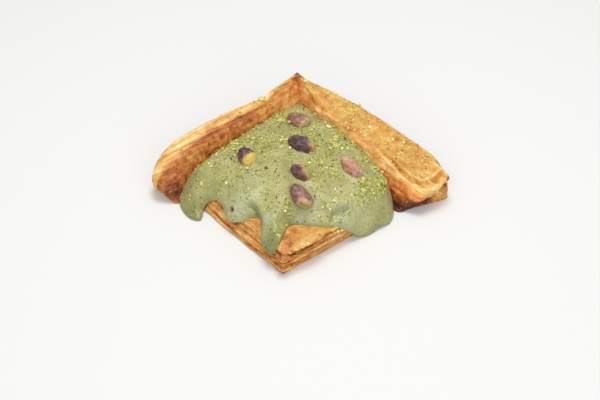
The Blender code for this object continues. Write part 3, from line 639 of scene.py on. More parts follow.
wall_p, wall_q, wall_z = np.moveaxis(wall, -1, 0)
low_right = fade_in(wall_q, 30.0, 14.0) * right_top
to_plateau, plateau_share = line_distance(wall_p, wall_q, PLATEAU_RIM)
to_ridge, _ = line_distance(wall_p, wall_q, RIDGE_RIM)
plateau_line = peak(to_plateau, 0.75) * low_right * fade_in(plateau_share, 0.0, 0.3)
ridge_line = peak(to_ridge, 0.8) * fade_in(wall_q, 36.0, 16.0) * ~on_left * (wall_z > 8.0)
dish = fade_in(to_plateau, 0.0, 4.0) * fade_in(to_plateau, 11.0, 6.0) * low_right
between_rims = peak(to_plateau + 1.9, 1.1) * low_right
crest_line = peak(top_share - 0.96, 0.035) * ~on_left * fade_in(wall_along, 6.0, 16.0)
to_fold, fold_share = line_distance(wall_p, wall_q, CORNER_FOLD)
corner_fold = peak(to_fold, 0.7) * ~on_left * (fold_share < 1.0)
to_crease, _ = line_distance(wall_p, wall_q, LEFT_CREASE)
crease = peak(to_crease, 0.55) * on_left * (1.0 - is_outer)
print("the dish lies under", int((dish > 0.5).sum()), "points")

# %% Press the relief into the wall
RAGGED_SIZE = (3.4, 1.3, 1.0)


def summed(rows):
    """The sum of rows that each say what they are, how much, and where."""
    total = 0.0
    for _, amount, where in rows:
        total = total + amount * where
    return total


ragged = hills(on_sheet(wall_p, wall_z), RAGGED_SIZE, 53, 2)
at_end = fade_in(wall_q, -4.0, -7.5) * ~on_left

# Each row is a form, how many millimetres it stands out, and where it lies.
wall_relief = (1.0 - is_foot) * summed((
    ("wide ridges of the cut layers", 0.34, layered * streak_wide),
    ("thin ridges of the cut layers", 0.20, layered * streak_thin),
    ("grooves between the layers", -0.50, layered * deep),
    ("blisters of the skin", 0.45, skinned * blister),
    ("flakes of the skin", 0.16, skinned * flakes),
    ("grain of the skin", 0.10, skinned * grain),
    ("bubbles inside the left wall", 0.34, left_inner * bubbles**3),
    ("ridges inside the left wall", 0.16, left_inner * streak_wide),
    ("wide ridges inside the right wall", 0.26, right_inner * streak_wide),
    ("thin ridges inside the right wall", 0.16, right_inner * streak_thin),
    ("broad folds along the left wall's top", 0.75, left_top * folds),
    ("rim of the plateau", 0.85, plateau_line),
    ("rim on the ridge", 0.75, ridge_line),
    ("dish in the plateau", -1.5, dish),
    ("furrow between the rims", -0.75, between_rims),
    ("thin line of skin on the crest", 0.30, crest_line),
    ("fold by the corner", 0.7, corner_fold),
    ("crease across the left wall", -0.35, crease),
    ("flakes of the ragged end", 0.75, at_end * ragged * fade_in(wall_p, 84.0, 92.0)),
))
wall = wall + outward(wall) * wall_relief[:, :, None]
wall[:, :, 2] = np.maximum(wall[:, :, 2], 0.0)
print("relief from", round(float(wall_relief.min()), 2), "to", round(float(wall_relief.max()), 2), "mm")

# %% [markdown]
# ## How browned the wall is, and where light is painted on it
# Heat reaches the thin tips and the raised edges first, and the faces that lean in over
# the filling get the most of it, so the colour changes over the piece: pale honey on
# the cut layers of the left wall, gold on the broad right wall, rust brown inside the
# left wall and at the raised corner. Some rows paint light into the same number: shade
# in the grooves between the cut layers and under the right end's lip, and paler
# highlights on the left wall's bubbles and along the right wall's crest. A second mark
# makes the faces that lean in brighter, as painted light. One number from 0 (pale) to 1
# (dark) is worked out for each point, and the material below turns it to colour. The
# alternative, a painted image, would not be editable and would have to be unwrapped.

# %% Places that brown differently
BURNT_SPOTS = ((101.5, -8.5, 1.5, 0.45), (98.5, -9.5, 1.2, 0.20))


def bump_at(p, q, spots):
    """Round spots in own millimetres: P, Q, radius and strength for each."""
    total = 0.0
    for spot_p, spot_q, radius, strength in spots:
        total = total + strength * peak(np.hypot(p - spot_p, q - spot_q), radius)
    return total


height = wall[:, :, 2]
low_part = fade_in(height, 20.0, 0.0)
far_left = fade_in(wall_along, -12.0, -72.0)
roll = fade_in(top_share, 0.5, 0.0)
left_tip = on_left * end_left
under_ridge = peak(place_in_section - INNER, 1.0) * fade_in(wall_along, 6.0, 14.0)
# Where painted shade falls under the right end's lip.
shaded_under_lip = fade_in(height, 10.0, 4.0) * (1.0 - is_top) * fade_in(wall_p, 93.0, 86.0)
burnt = bump_at(wall_p, wall_q, BURNT_SPOTS) * fade_in(height, 7.0, 9.0) * fade_in(height, 15.5, 13.5)
print("burnt spots cover", int((burnt > 0.1).sum()), "points")

# %% Browning of the wall, with painted shade and highlights
GOLD = 0.36

# Each row is a place, how much browner than plain gold it is, and where it lies.
brown_and_painted_light = GOLD + summed((
    ("blisters", 0.09, blister),
    ("mottled skin", 0.10, skinned * cloud(wall, 2.0, 51)),
    ("flaky skin", 0.06, skinned * flakes),
    # Painted shade: the grooves between the cut layers are darker.
    ("grooves between cut layers", 0.32, layered * (deep - 0.35)),
    ("thin ridges of cut layers", -0.10, layered * streak_thin),
    ("outer face", 0.05, is_outer),
    ("outer face, low down", 0.10, is_outer * low_part),
    ("left wall inside", 0.104, left_inner),
    ("left wall inside, to its far end", 0.27, left_inner * far_left),
    ("left wall inside, low down", 0.07, left_inner * low_part),
    ("left wall inside, by the corner", 0.05, left_inner * peak(wall_along, 24.0)),
    # Painted highlights: the crowns of the left wall's bubbles are paler.
    ("left wall's bubbles", -0.16, left_inner * bubbles**3),
    ("left wall's rolled edge", 0.07, left_top * roll),
    ("left wall's rolled edge, to its far end", 0.24, left_top * roll * far_left),
    ("left wall's cut top", -0.14, left_top * (1.0 - roll)),
    ("left wall's folds", -0.10, left_top * folds),
    ("left wall's crease", 0.10, crease),
    ("left tip", -0.03, left_tip),
    ("left tip's foot", -0.25, left_tip * peak(height, 1.2)),
    ("left tip inside, low down", 0.08, left_tip * left_inner * low_part),
    ("raised corner", 0.44, peak(wall_along, 5.0) * fade_in(height, 28.0, 36.0)),
    ("fold by the corner", -0.12, corner_fold),
    ("right wall inside", -0.06, right_inner),
    ("right wall inside, by the corner", 0.14, right_inner * peak(wall_along, 15.0)),
    ("right wall inside, far and low", 0.42, right_inner * low_part * fade_in(wall_along, 45.0, 80.0)),
    # Painted shade in the grooves inside the right wall.
    ("right wall's grooves inside", 0.10, right_inner * (groove(streak_wide) - 0.4)),
    ("right wall under its ridge", 0.12, under_ridge * fade_in(wall_along, 75.0, 55.0)),
    ("right wall's top", 0.11, right_top),
    ("right wall's top, mottled", 0.12, right_top * cloud(wall, 2.8, 87)),
    ("right wall's plateau", 0.08, low_right),
    ("right wall's dish", -0.02, dish),
    ("rim of the plateau", -0.20, plateau_line),
    ("rim on the ridge", -0.18, ridge_line),
    ("furrow between the rims", 0.20, between_rims),
    # Paler along the crest: a thin line of skin there, with a painted highlight on it.
    ("line on the crest", -0.20, crest_line),
    ("right wall's outer face and crest", 0.14, peak(top_share - 1.0, 0.05) * ~on_left),
    ("right end's top", -0.20, end_right * right_top),
    ("right end's flakes", -0.10, at_end * ragged * fade_in(height, 6.0, 10.0)),
    ("right end, outside", -0.14, at_end * (1.0 - is_top) * fade_in(wall_p, 89.0, 95.0)),
    ("right end, inside and low", 0.32, at_end * fade_in(wall_p, 95.0, 89.0) * fade_in(height, 10.0, 5.0)),
    # Painted shade under the right end's lip.
    ("under the right end's lip", 0.30, shaded_under_lip * fade_in(wall_q, 18.0, 4.0) * ~on_left),
    ("burnt spots", 1.0, burnt),
))
# Painted light: the right wall's inner face, except under its lip, and the left wall's inner face by the
# corner are made brighter in the finish.
painted_light_inside = right_inner * (1.0 - shaded_under_lip) + 0.7 * left_inner * peak(wall_along, 24.0)
wall_marks = {
    "browned_and_painted_light": np.clip(brown_and_painted_light, 0.0, 1.0),
    "layered": layered,
    "gilt": right_top * (1.0 - 0.6 * end_right),
    "painted_light_inside": np.clip(painted_light_inside, 0.0, 1.0),
    "course": np.stack((wall_along, wall_around, height), axis=-1),
}
print("browning from", round(float(brown_and_painted_light.min()), 2), "to", round(float(brown_and_painted_light.max()), 2))

# %% [markdown]
# ## The square of dough
# The filling lies on a flat square whose two front edges were cut through all the
# layers. On the right-front side the layers stand upright and split from a thin flap at
# the top; on the left-front side they lean back and fan out from the front corner. A
# stack of thin boxes would show straight seams and sharp corners. So one outline of the
# side (reach outward, height) is swept round the square instead, and it changes from one
# form to the other on the way.

# %% The square's sides
SLAB_LAYERS = 5
LAYER_LIP, CORNER_LIP = 0.55, -0.3
RIGHT_STACK_HEIGHT, RIGHT_STACK_LEAN = 10.4, 1.6
RIGHT_FLAP = ((-4.0, 10.8), (2.15, 11.7), (1.6, 13.6), (-2.0, 14.0), (-6.0, 13.0), (-12.0, 13.4))
CORNER_FLAP = ((1.2, 10.4), (0.6, 11.1), (-1.2, 12.0), (-3.5, 12.9), (-6.5, 13.2), (-12.0, 13.4))
LEFT_STACK_HEIGHT, LEFT_STACK_FOOT, LEFT_STACK_LEAN = 13.0, 1.0, -7.5
LEFT_STACK_BEND = 1.3
LEFT_SHOULDER = ((-8.0, 13.4), (-10.0, 13.8), (-11.5, 14.0), (-13.5, 14.2), (-16.5, 14.3))


def layer_stack(height, leans, lip):
    """Layers of dough seen edge on, from the foot up, as (outward, height)."""
    thickness = height / SLAB_LAYERS
    side = [(0.0, 0.0)]
    for k, lean in enumerate(leans):
        side.append((lean + LAYER_LIP, (k + 0.5) * thickness))
        side.append((lean - lip, (k + 0.95) * thickness))
    return side


layer_shares = [k / SLAB_LAYERS for k in range(SLAB_LAYERS)]
right_leans = [RIGHT_STACK_LEAN * (share + 0.5 / SLAB_LAYERS) for share in layer_shares]
left_leans = [LEFT_STACK_FOOT + LEFT_STACK_LEAN * share**LEFT_STACK_BEND for share in layer_shares]
right_side = layer_stack(RIGHT_STACK_HEIGHT, right_leans, LAYER_LIP)[:-1] + list(RIGHT_FLAP)
left_side = layer_stack(LEFT_STACK_HEIGHT, left_leans, 2.0 * LAYER_LIP) + list(LEFT_SHOULDER)
corner_side = layer_stack(RIGHT_STACK_HEIGHT, right_leans, CORNER_LIP)[:-1] + list(CORNER_FLAP)
sides = smooth_rows(np.array([right_side, left_side, corner_side]), 5, closed=False)
print("each side's outline has", sides.shape[1], "points")

# %% The square's outline
SLAB_SIDE = 88.0
LEFT_RUN, RIGHT_RUN = 60.0, 58.0
EDGE_STEP, BACK_STEPS = 0.6, 8
FAN_LENGTH = 26.0
FAN_START, FAN_START_SHARE = 4.0, 0.15

# The rest of the outline lies under the walls and the cream: P, Q, the outward direction
# and the share of the left side's form.
SLAB_BACK = (
    (62.5, 1.5, 0.3, -0.9, 0.0),
    (67.0, 6.0, 0.7, -0.7, 0.0),
    (72.0, 14.0, 1.0, -0.3, 0.0),
    (80.0, 22.0, 0.7, -0.7, 0.0),
    (88.0, 30.0, 1.0, 0.0, 0.0),
    (88.0, 44.0, 1.0, 0.0, 0.0),
    (88.0, 88.0, 0.7, 0.7, 0.0),
    (66.0, 88.0, 0.0, 1.0, 0.3),
    (48.0, 88.0, 0.0, 1.0, 0.6),
    (36.0, 87.5, 0.0, 1.0, 0.8),
    (26.0, 86.0, -0.2, 1.0, 1.0),
    (19.0, 82.5, -0.5, 0.9, 1.0),
    (14.0, 77.5, -0.6, 0.8, 1.0),
    (10.5, 70.5, -0.4, 0.9, 1.0),
    (6.5, 67.2, -0.3, 1.0, 1.0),
    (2.8, 65.4, -0.6, 0.8, 1.0),
    (0.7, 63.0, -0.95, 0.3, 1.0),
    (0.1, 61.0, -1.0, 0.1, 1.0),
)


def square_outline():
    """Points round the square: P, Q, the outward direction and the share of left side."""
    q = np.arange(LEFT_RUN, EDGE_STEP / 2, -EDGE_STEP)
    share = (1.0 - FAN_START_SHARE) * ease(q / FAN_LENGTH) + FAN_START_SHARE * ease(q / FAN_START)
    zero = np.zeros_like(q)
    left_edge = np.stack((zero, q, zero - 1.0, zero, share), axis=1)
    point = np.array([(0.0, 0.0, -math.sqrt(0.5), -math.sqrt(0.5), 0.0)])
    p = np.arange(EDGE_STEP, RIGHT_RUN + EDGE_STEP / 2, EDGE_STEP)
    zero = np.zeros_like(p)
    right_edge = np.stack((p, zero, zero, zero - 1.0, zero), axis=1)
    back = np.array(SLAB_BACK)
    steps = [
        here + (there - here) * k / BACK_STEPS
        for here, there in zip(back, back[1:])
        for k in range(BACK_STEPS)
    ]
    return np.concatenate((left_edge, point, right_edge, np.array(steps), back[-1:]))


outline = square_outline()
print("the square's outline has", len(outline), "points")

# %% The square's grid
PINCH_OVER = 8.0
FLAP_WAVE, FLAP_WAVE_SIZE = 0.6, 7.0
FLAP_SINK, SINK_FROM, SINK_OVER = 0.85, 18.0, 22.0
LAYER_WANDER, LAYER_WANDER_SIZE, WANDER_FULL_AT = 0.7, (9.0, 9.0, 2.8), 3.0
INNER_RINGS = (0.93, 0.86, 0.79, 0.7, 0.55, 0.3)

p, q, out_p, out_q, share = outline.T
pinch = peak(np.hypot(p, q), PINCH_OVER)
parts = np.stack(((1.0 - share) * (1.0 - pinch), share, (1.0 - share) * pinch))
reach, height = sides[:, :, 0].T @ parts, sides[:, :, 1].T @ parts

# The flap's edge waves, and the flap sinks onto the layers away from the corner.
in_flap = height > RIGHT_STACK_HEIGHT
reach = reach + FLAP_WAVE * hills(on_sheet(p, q), FLAP_WAVE_SIZE, 59, 2) * (1.0 - share) * in_flap
sunk = FLAP_SINK * ease((p - SINK_FROM) / SINK_OVER) * in_flap
height = height - sunk * (height - RIGHT_STACK_HEIGHT)
reach = reach - sunk * np.maximum(reach, 0.0)

# The layers wander up and down a little along the sides.
wander = cloud(np.stack(np.broadcast_arrays(p, q, height), axis=-1), LAYER_WANDER_SIZE, 83)
height = height + LAYER_WANDER * wander * ease(height / WANDER_FULL_AT) * (height < RIGHT_STACK_HEIGHT)

half = SLAB_SIDE / 2.0
shrink = 1.0 + np.minimum(reach, 0.0) / half
slab_p = half + (p - half) * shrink + out_p * np.maximum(reach, 0.0)
slab_q = half + (q - half) * shrink + out_q * np.maximum(reach, 0.0)
slab = np.stack((slab_p, slab_q, height), axis=-1)
inner_rings = [half + (slab[-1, :, :2] - half) * share_in for share_in in INNER_RINGS]
slab = np.concatenate((
    slab,
    np.stack([np.column_stack((ring, slab[-1, :, 2])) for ring in inner_rings]),
))
print("square grid:", slab.shape[:2])

# %% [markdown]
# ## Relief and browning of the square
# Its sides show the same cut layers as the wall, with painted shade in the grooves
# between them, and the small triangle of its top that shows is smooth skin, a little
# orange beside the drip, with painted shade of the cream's edge on it too. The tip of the
# corner is the brownest, the split under the flap is darkened with painted shade, and the
# blunt left end of the cut side is pale. The same kind of rows as for the wall say how
# much each form stands out, and how much browner each place is. An image wrapped round
# the square would smear on its sides.

# %% Relief of the square
SIDE_RINGS = 12.6
edge_steps = np.linalg.norm(np.diff(outline[:, :2], axis=0), axis=1)
edge_along = np.concatenate(([0.0], np.cumsum(edge_steps)))
slab_along = np.broadcast_to(edge_along - edge_along[int(LEFT_RUN / EDGE_STEP)], slab.shape[:2]).copy()
up_step = np.linalg.norm(np.diff(slab, axis=0), axis=2)
slab_up = np.concatenate((np.zeros((1, slab.shape[1])), np.cumsum(up_step, axis=0)))
ring_number = np.arange(len(slab))[:, None] / 5.0
on_side = fade_in(ring_number, SIDE_RINGS, SIDE_RINGS - 1.2) * np.ones_like(slab_along)
on_top = 1.0 - on_side
slab_wide = streaks(slab_along, slab_up, 2.2, 61)
slab_thin = streaks(slab_along, slab_up, 0.95, 67)
slab_deep = 0.5 * groove(slab_wide) + 0.5 * groove(slab_thin)
slab_relief = fade_in(slab_up, 0.0, 1.0) * summed((
    ("wide ridges of the cut layers", 0.34, on_side * slab_wide),
    ("thin ridges of the cut layers", 0.22, on_side * slab_thin),
    ("grooves between the layers", -0.50, on_side * slab_deep),
    ("swells of the top", 0.55, on_top * hills(slab, 5.0, 71, 3)),
))
slab = slab + outward(slab) * slab_relief[:, :, None]
slab[:, :, 2] = np.maximum(slab[:, :, 2], 0.0)
print("relief from", round(float(slab_relief.min()), 2), "to", round(float(slab_relief.max()), 2), "mm")

# %% Browning of the square, with painted shade
# Where the top is more orange or paler: P, Q, radius and how much. The orange by the
# cream's edge is partly the top's own colour and partly painted shade of the cream.
TOP_ORANGE_AND_SHADE = (
    (10.0, 8.0, 3.0, 0.32),
    (15.0, 10.5, 2.5, 0.28),
    (22.0, 6.0, 2.5, 0.20),
    (21.0, 4.0, 3.0, -0.16),
    (7.0, 3.5, 2.5, 0.20),
    (32.0, 0.8, 3.0, 0.10),
)
PALE_NOSE = ((3.0, 60.0, 7.0, 1.0),)
SPLIT_RING = 10.0

slab_p, slab_q, slab_z = np.moveaxis(slab, -1, 0)
to_corner = np.hypot(slab_p, slab_q)
nose = bump_at(slab_p, slab_q, PALE_NOSE)
# Painted shade in the split under the flap.
split = peak(ring_number - SPLIT_RING, 0.8) * (1.0 - share) * (1.0 - 0.7 * pinch)
slab_brown_and_painted_light = GOLD + summed((
    ("mottling", 0.10, hills(slab, 4.0, 77, 3)),
    ("cut sides", 0.04, on_side),
    ("left side", 0.10, on_side * share),
    # Painted shade: the grooves between the layers are darker, more so by the corner and less at the blunt
    # end.
    ("grooves between the layers", 0.42, on_side * (slab_deep - 0.4)),
    ("thin ridges of the layers", -0.08, on_side * slab_thin),
    ("foot", 0.12, fade_in(slab_up, 2.5, 0.0)),
    ("front corner", 0.24, peak(to_corner, 6.0)),
    ("grooves by the corner", 0.10, peak(to_corner, 9.0) * on_side * (slab_deep - 0.3)),
    ("blunt left end", -0.05, nose),
    ("fainter grooves at the blunt end", -0.26, nose * on_side * (slab_deep - 0.4)),
    ("split under the flap", 0.36, split),
    ("top", 0.05, on_top),
    ("spots of the top", 1.0, on_top * bump_at(slab_p, slab_q, TOP_ORANGE_AND_SHADE)),
))
slab_marks = {
    "browned_and_painted_light": np.clip(slab_brown_and_painted_light, 0.0, 1.0),
    "layered": on_side,
    "gilt": 0.2 * on_top,
    "painted_light_inside": 0.0 * on_side,
    "course": np.stack((slab_along, slab_up + 200.0, slab_z), axis=-1),
}
print("browning from", round(float(slab_brown_and_painted_light.min()), 2), "to", round(float(slab_brown_and_painted_light.max()), 2))

# %% [markdown]
# ## One piece of dough
# The wall and the square were one sheet, so they have to be one closed mesh. Two meshes
# that only overlap would leave faces inside the dough. A Boolean union welds them. Its
# newer solver is used because it is quick on dense closed meshes and carries the marks
# of the points along.

# %% Weld the wall and the square


def weld(target, tool, operation):
    """Join or cut two closed meshes for good, and remove the tool."""
    modifier = target.modifiers.new(operation, "BOOLEAN")
    modifier.operation = operation
    modifier.object = tool
    modifier.solver = "MANIFOLD"
    bpy.context.view_layer.update()
    ready = target.evaluated_get(bpy.context.evaluated_depsgraph_get())
    mesh = bpy.data.meshes.new_from_object(ready)
    target.modifiers.clear()
    target.data = mesh
    bpy.data.objects.remove(tool)


crust = skin("danish_dough", wall, wall_marks)
weld(crust, skin("square", slab, slab_marks), "UNION")
crust.data.shade_smooth()
print("dough has", len(crust.data.polygons), "faces and marks", list(crust.data.attributes.keys()))

# %% [markdown]
# ## Colours and shader helpers
# Paint on food is never one colour, so each finish below is a small graph: marks that
# the mesh carries, plus noise at the size of the real grain, feed a ramp of tones. The same
# graphs could be put together by hand in the shader editor, but the helpers keep them
# short and alike. Tones are named as they look under white light, and are turned to the
# linear numbers that the renderer works with.

# %% Tones and new materials


def tone(red, green, blue):
    """A colour as it looks (0 to 255) as the linear colour that a shader takes."""
    shown = np.array((red, green, blue)) / 255.0
    linear = np.where(shown <= 0.04045, shown / 12.92, ((shown + 0.055) / 1.055) ** 2.4)
    return (*linear.tolist(), 1.0)


def new_paint(name, roughness, glow_depth=0.0, glow=0.0):
    """A new material and its main shader, a little translucent where it says so."""
    paint = bpy.data.materials.new(name)
    paint.use_nodes = True
    shader = paint.node_tree.nodes["Principled BSDF"]
    shader.inputs["Roughness"].default_value = roughness
    shader.inputs["Subsurface Weight"].default_value = glow
    shader.inputs["Subsurface Radius"].default_value = (1.0, 0.7, 0.4)
    shader.inputs["Subsurface Scale"].default_value = glow_depth
    return paint, shader


print("tones run from", tone(0, 0, 0)[:3], "to", tone(255, 255, 255)[:3])

# %% Shader nodes, marks and sums


def add_node(paint, kind, options=None, **sockets):
    """Add one shader node. A socket is given a number, a colour or another node's output."""
    made = paint.node_tree.nodes.new(kind)
    for key, value in (options or {}).items():
        setattr(made, key, value)
    for key, value in sockets.items():
        socket = made.inputs[int(key[1:]) if key[1:].isdigit() else key.replace("_", " ")]
        if isinstance(value, bpy.types.NodeSocket):
            paint.node_tree.links.new(value, socket)
        else:
            socket.default_value = value
    return made


def mark_of(paint, name, output="Fac"):
    """The marks that the mesh carries under a name."""
    return add_node(paint, "ShaderNodeAttribute", {"attribute_name": name}).outputs[output]


def sums(paint, operation, a, b, clamp=False):
    """A sum, product or other arithmetic of two values."""
    options = {"operation": operation, "use_clamp": clamp}
    return add_node(paint, "ShaderNodeMath", options, i0=a, i1=b).outputs[0]


def sway(paint, value, amount):
    """A value around one half as a sway to both sides of zero."""
    return sums(paint, "MULTIPLY", sums(paint, "SUBTRACT", value, 0.5), amount)


print("marks that the dough's finish can read:", sorted(wall_marks))

# %% Ramps, mixes and grains


def ramp_of(paint, value, stops):
    """Tones along a value: rows of (value, tone)."""
    made = add_node(paint, "ShaderNodeValToRGB", Fac=value)
    ramp = made.color_ramp
    while len(ramp.elements) < len(stops):
        ramp.elements.new(0.5)
    for element, (at, colour) in zip(ramp.elements, stops):
        element.position = at
        element.color = colour if len(colour) == 4 else (*colour, 1.0)
    return made.outputs["Color"]


def mix_tones(paint, share, a, b, way="MIX"):
    """One tone laid over another by a share."""
    made = paint.node_tree.nodes.new("ShaderNodeMix")
    made.data_type = "RGBA"
    made.blend_type = way
    for socket, value in ((made.inputs[0], share), (made.inputs[6], a), (made.inputs[7], b)):
        if isinstance(value, bpy.types.NodeSocket):
            paint.node_tree.links.new(value, socket)
        else:
            socket.default_value = value
    return made.outputs[2]


def grains(paint, size, detail=3.0, where=None, stretch=(1.0, 1.0, 1.0)):
    """Noise with grains of a size in millimetres, on the mesh or along a mark of it."""
    if where is None:
        where = add_node(paint, "ShaderNodeTexCoord").outputs["Object"]
        unit = 1.0 / (size * MM)
    else:
        unit = 1.0 / size
    mapped = add_node(paint, "ShaderNodeMapping", Vector=where, Scale=[unit * s for s in stretch])
    noise_node = add_node(paint, "ShaderNodeTexNoise", Vector=mapped.outputs[0], Scale=1.0, Detail=detail)
    return noise_node.outputs["Fac"]


def press_in(paint, shader, height, depth):
    """Fine relief that only the shader shows."""
    bump = add_node(paint, "ShaderNodeBump", Height=height, Distance=depth * MM, Strength=1.0)
    paint.node_tree.links.new(bump.outputs[0], shader.inputs["Normal"])


print("materials so far:", [paint.name for paint in bpy.data.materials])

# %% [markdown]
# ## The baked crust's finish
# Butter and sugar in laminated dough brown from pale honey over gold and orange to
# rust. The mesh says how far each point is browned, with painted shade and painted
# highlights in the same number, and which faces get painted light. The shader adds what
# is finer than the mesh: mottling, fine grain and thin lines along the layers. Plain
# noise alone would brown the pastry evenly, as no oven does. Its gloss is low, with a
# slight buttery sheen.

# %% Crust finish
CRUST_TONES = (
    (0.00, tone(246, 226, 174)),
    (0.18, tone(236, 202, 134)),
    (0.36, tone(222, 172, 94)),
    (0.52, tone(208, 140, 72)),
    (0.68, tone(176, 100, 48)),
    (0.84, tone(128, 66, 32)),
    (1.00, tone(80, 40, 22)),
)
PATCHY = ((0.42, (0.0, 0.0, 0.0)), (0.62, (1.0, 1.0, 1.0)))
YELLOW_GOLD = tone(208, 164, 58)
PAINTED_WARM_LIGHT = (1.34, 1.24, 1.5, 1.0)
CRUST_SHEEN = 0.28

crust_paint, crust_shader = new_paint("baked crust", 0.46, 0.0012, 0.12)
crust_shader.inputs["Specular IOR Level"].default_value = CRUST_SHEEN
mottle = grains(crust_paint, 4.0, 4.0)
fine_grain = grains(crust_paint, 0.9, 3.0)
course = mark_of(crust_paint, "course", "Vector")
lines = grains(crust_paint, 1.0, 3.0, where=course, stretch=(0.07, 1.3, 0.0))
lines = mix_tones(crust_paint, mark_of(crust_paint, "layered"), (0.5, 0.5, 0.5, 1.0), lines)

how_brown_with_painted_light = sums(crust_paint, "ADD", mark_of(crust_paint, "browned_and_painted_light"), sway(crust_paint, mottle, 0.46))
how_brown_with_painted_light = sums(crust_paint, "ADD", how_brown_with_painted_light, sway(crust_paint, fine_grain, 0.50))
how_brown_with_painted_light = sums(crust_paint, "ADD", how_brown_with_painted_light, sway(crust_paint, lines, 0.62), True)
crust_colour = ramp_of(crust_paint, how_brown_with_painted_light, CRUST_TONES)

# The right wall's top is gilt in patches, and the faces that lean in get painted light, a brighter tone.
patches = ramp_of(crust_paint, grains(crust_paint, 1.8, 4.0), PATCHY)
gilt = sums(crust_paint, "MULTIPLY", patches, mark_of(crust_paint, "gilt"))
gilt = sums(crust_paint, "MULTIPLY", gilt, 0.75)
crust_colour = mix_tones(crust_paint, gilt, crust_colour, YELLOW_GOLD)
crust_colour = mix_tones(crust_paint, mark_of(crust_paint, "painted_light_inside"), crust_colour, PAINTED_WARM_LIGHT, "MULTIPLY")
crust_paint.node_tree.links.new(crust_colour, crust_shader.inputs["Base Color"])
press_in(crust_paint, crust_shader, sums(crust_paint, "ADD", fine_grain, lines), 0.16)
crust.data.materials.clear()
crust.data.materials.append(crust_paint)
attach(crust, "root")
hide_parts("pastry")
print("crust runs through", len(CRUST_TONES), "tones")

# %% [markdown]
# ## The nut cream
# The cream was poured on and left to run: it domes gently, spreads up to the walls, and
# drops over the front edges in lobes, with one narrow drip down the corner. A fluid
# simulation would give another pour on each try. So its rim is drawn as a smooth closed
# curve with a height at each knot, and the dome rises from it on a full round shoulder.
# The folds are pressed along short lines where the cream rolled over itself.

# %% The cream's outline
# A knot of the rim in each row: P, Q, its height and how full the shoulder over it is.
CREAM_OUTLINE = (
    (84, 90, 12, 2.4),
    (84, 74, 15, 2.4),
    (83, 52, 16, 2.4),
    (82, 34, 14, 2.5),
    (81, 20, 11, 2.7),
    (78.5, 9, 5, 3.0),
    (75, 2, 0.8, 3.1),
    (70, -3, 0.6, 3.2),
    (65.5, -5.4, 0.6, 3.2),
    (61.5, -5.4, 2.2, 3.2),
    (57.5, -5.2, 2.4, 3.2),
    (53.5, -5.4, 0.6, 3.2),
    (49.5, -5.2, 0.6, 3.2),
    (45.5, -4.2, 2.5, 3.0),
    (41, -3.0, 7, 3.0),
    (36, -1.0, 10.5, 2.8),
    (30, 2.3, 12.5, 2.8),
    (22.5, 8.5, 12.8, 2.7),
    (16.5, 13.5, 13, 2.6),
    (11.5, 12, 13, 2.4),
    (6, 8, 12, 2.4),
    (0.5, 6, 10, 2.4),
    (-2.2, 8.5, 9, 2.4),
    (-1.5, 13, 9, 2.4),
    (1, 18.5, 9.5, 2.4),
    (5, 23.5, 11.5, 2.5),
    (7, 28, 12, 2.6),
    (3, 34, 9.5, 2.7),
    (-0.5, 40, 7.5, 2.8),
    (-0.6, 45, 7.0, 2.8),
    (1.0, 49.5, 8.0, 2.7),
    (2.1, 53, 9.0, 2.6),
    (2.2, 56.5, 9.2, 2.5),
    (1.2, 59.5, 7.6, 2.4),
    (-0.4, 62.3, 4.5, 2.3),
    (-2.6, 62.2, 1.4, 2.2),
    (-5.5, 59.2, 0.7, 2.2),
    (-8.3, 57.8, 0.6, 2.2),
    (-10.6, 60.5, 0.6, 2.2),
    (-11.3, 65, 0.6, 2.2),
    (-10.5, 70, 0.6, 2.2),
    (-8.5, 75, 1.0, 2.2),
    (-5, 79.5, 3, 2.2),
    (4, 82, 8, 2.2),
    (18, 83, 12, 2.2),
    (34, 85, 14, 2.3),
    (52, 87, 15, 2.3),
    (68, 89, 14, 2.4),
)
COARSE_STEPS, FINE_STEPS = 3, 16
RIM_STEP = 0.45


def even_steps(curve, step):
    """The same closed curve, with its points a fixed distance apart."""
    closed = np.vstack((curve, curve[:1]))
    reached = np.concatenate(([0.0], np.cumsum(np.hypot(*np.diff(closed[:, :2], axis=0).T))))
    wanted = np.linspace(0.0, reached[-1], round(reached[-1] / step), endpoint=False)
    return np.stack([np.interp(wanted, reached, column) for column in closed.T], axis=-1)


knots = np.array(CREAM_OUTLINE, float)[None]
stretches = smooth_rows(knots, COARSE_STEPS)[0]
rim = even_steps(smooth_rows(knots, FINE_STEPS)[0], RIM_STEP)
print("rim has", len(rim), "points")

# %% [markdown]
# ## Cream lies on the dough
# Real cream can't sink into the crust, but a drawn height can: it would let the dough
# poke through in patches. Cutting the two apart with a Boolean would be slow and leave
# ragged edges. So a ray is dropped at each point of the cream, and where it meets the
# dough higher than the cream lies, the cream is lifted just clear of it.

# %% The dough under the cream
UNDER_CREAM, CLEAR_OF_DOUGH = 18.0, 0.45
CREAM_ON_DOUGH = (66.0, 60.0)


def tree_of(*pieces):
    """One search tree over the faces of several pieces, one piece after the other."""
    points, faces = [], []
    for piece in pieces:
        mesh = piece.data
        start = len(points)
        points += [vertex.co.copy() for vertex in mesh.vertices]
        faces += [[start + i for i in face.vertices] for face in mesh.polygons]
    return BVHTree.FromPolygons(points, faces)


dough_tree = tree_of(crust)


def over_dough(p, q, z):
    """Heights of the cream, raised a little where the dough would come through."""
    raised = np.array(z, float)
    on_square = (p < CREAM_ON_DOUGH[0]) & (q < CREAM_ON_DOUGH[1])
    spots = lay(np.stack((p, q, np.full(len(p), UNDER_CREAM)), axis=-1))
    for k in np.flatnonzero(on_square):
        hit = dough_tree.ray_cast(Vector(spots[k]), Vector((0.0, 0.0, -1.0)))[0]
        if hit is not None:
            raised[k] = max(raised[k], hit.z / MM + CLEAR_OF_DOUGH)
    return raised


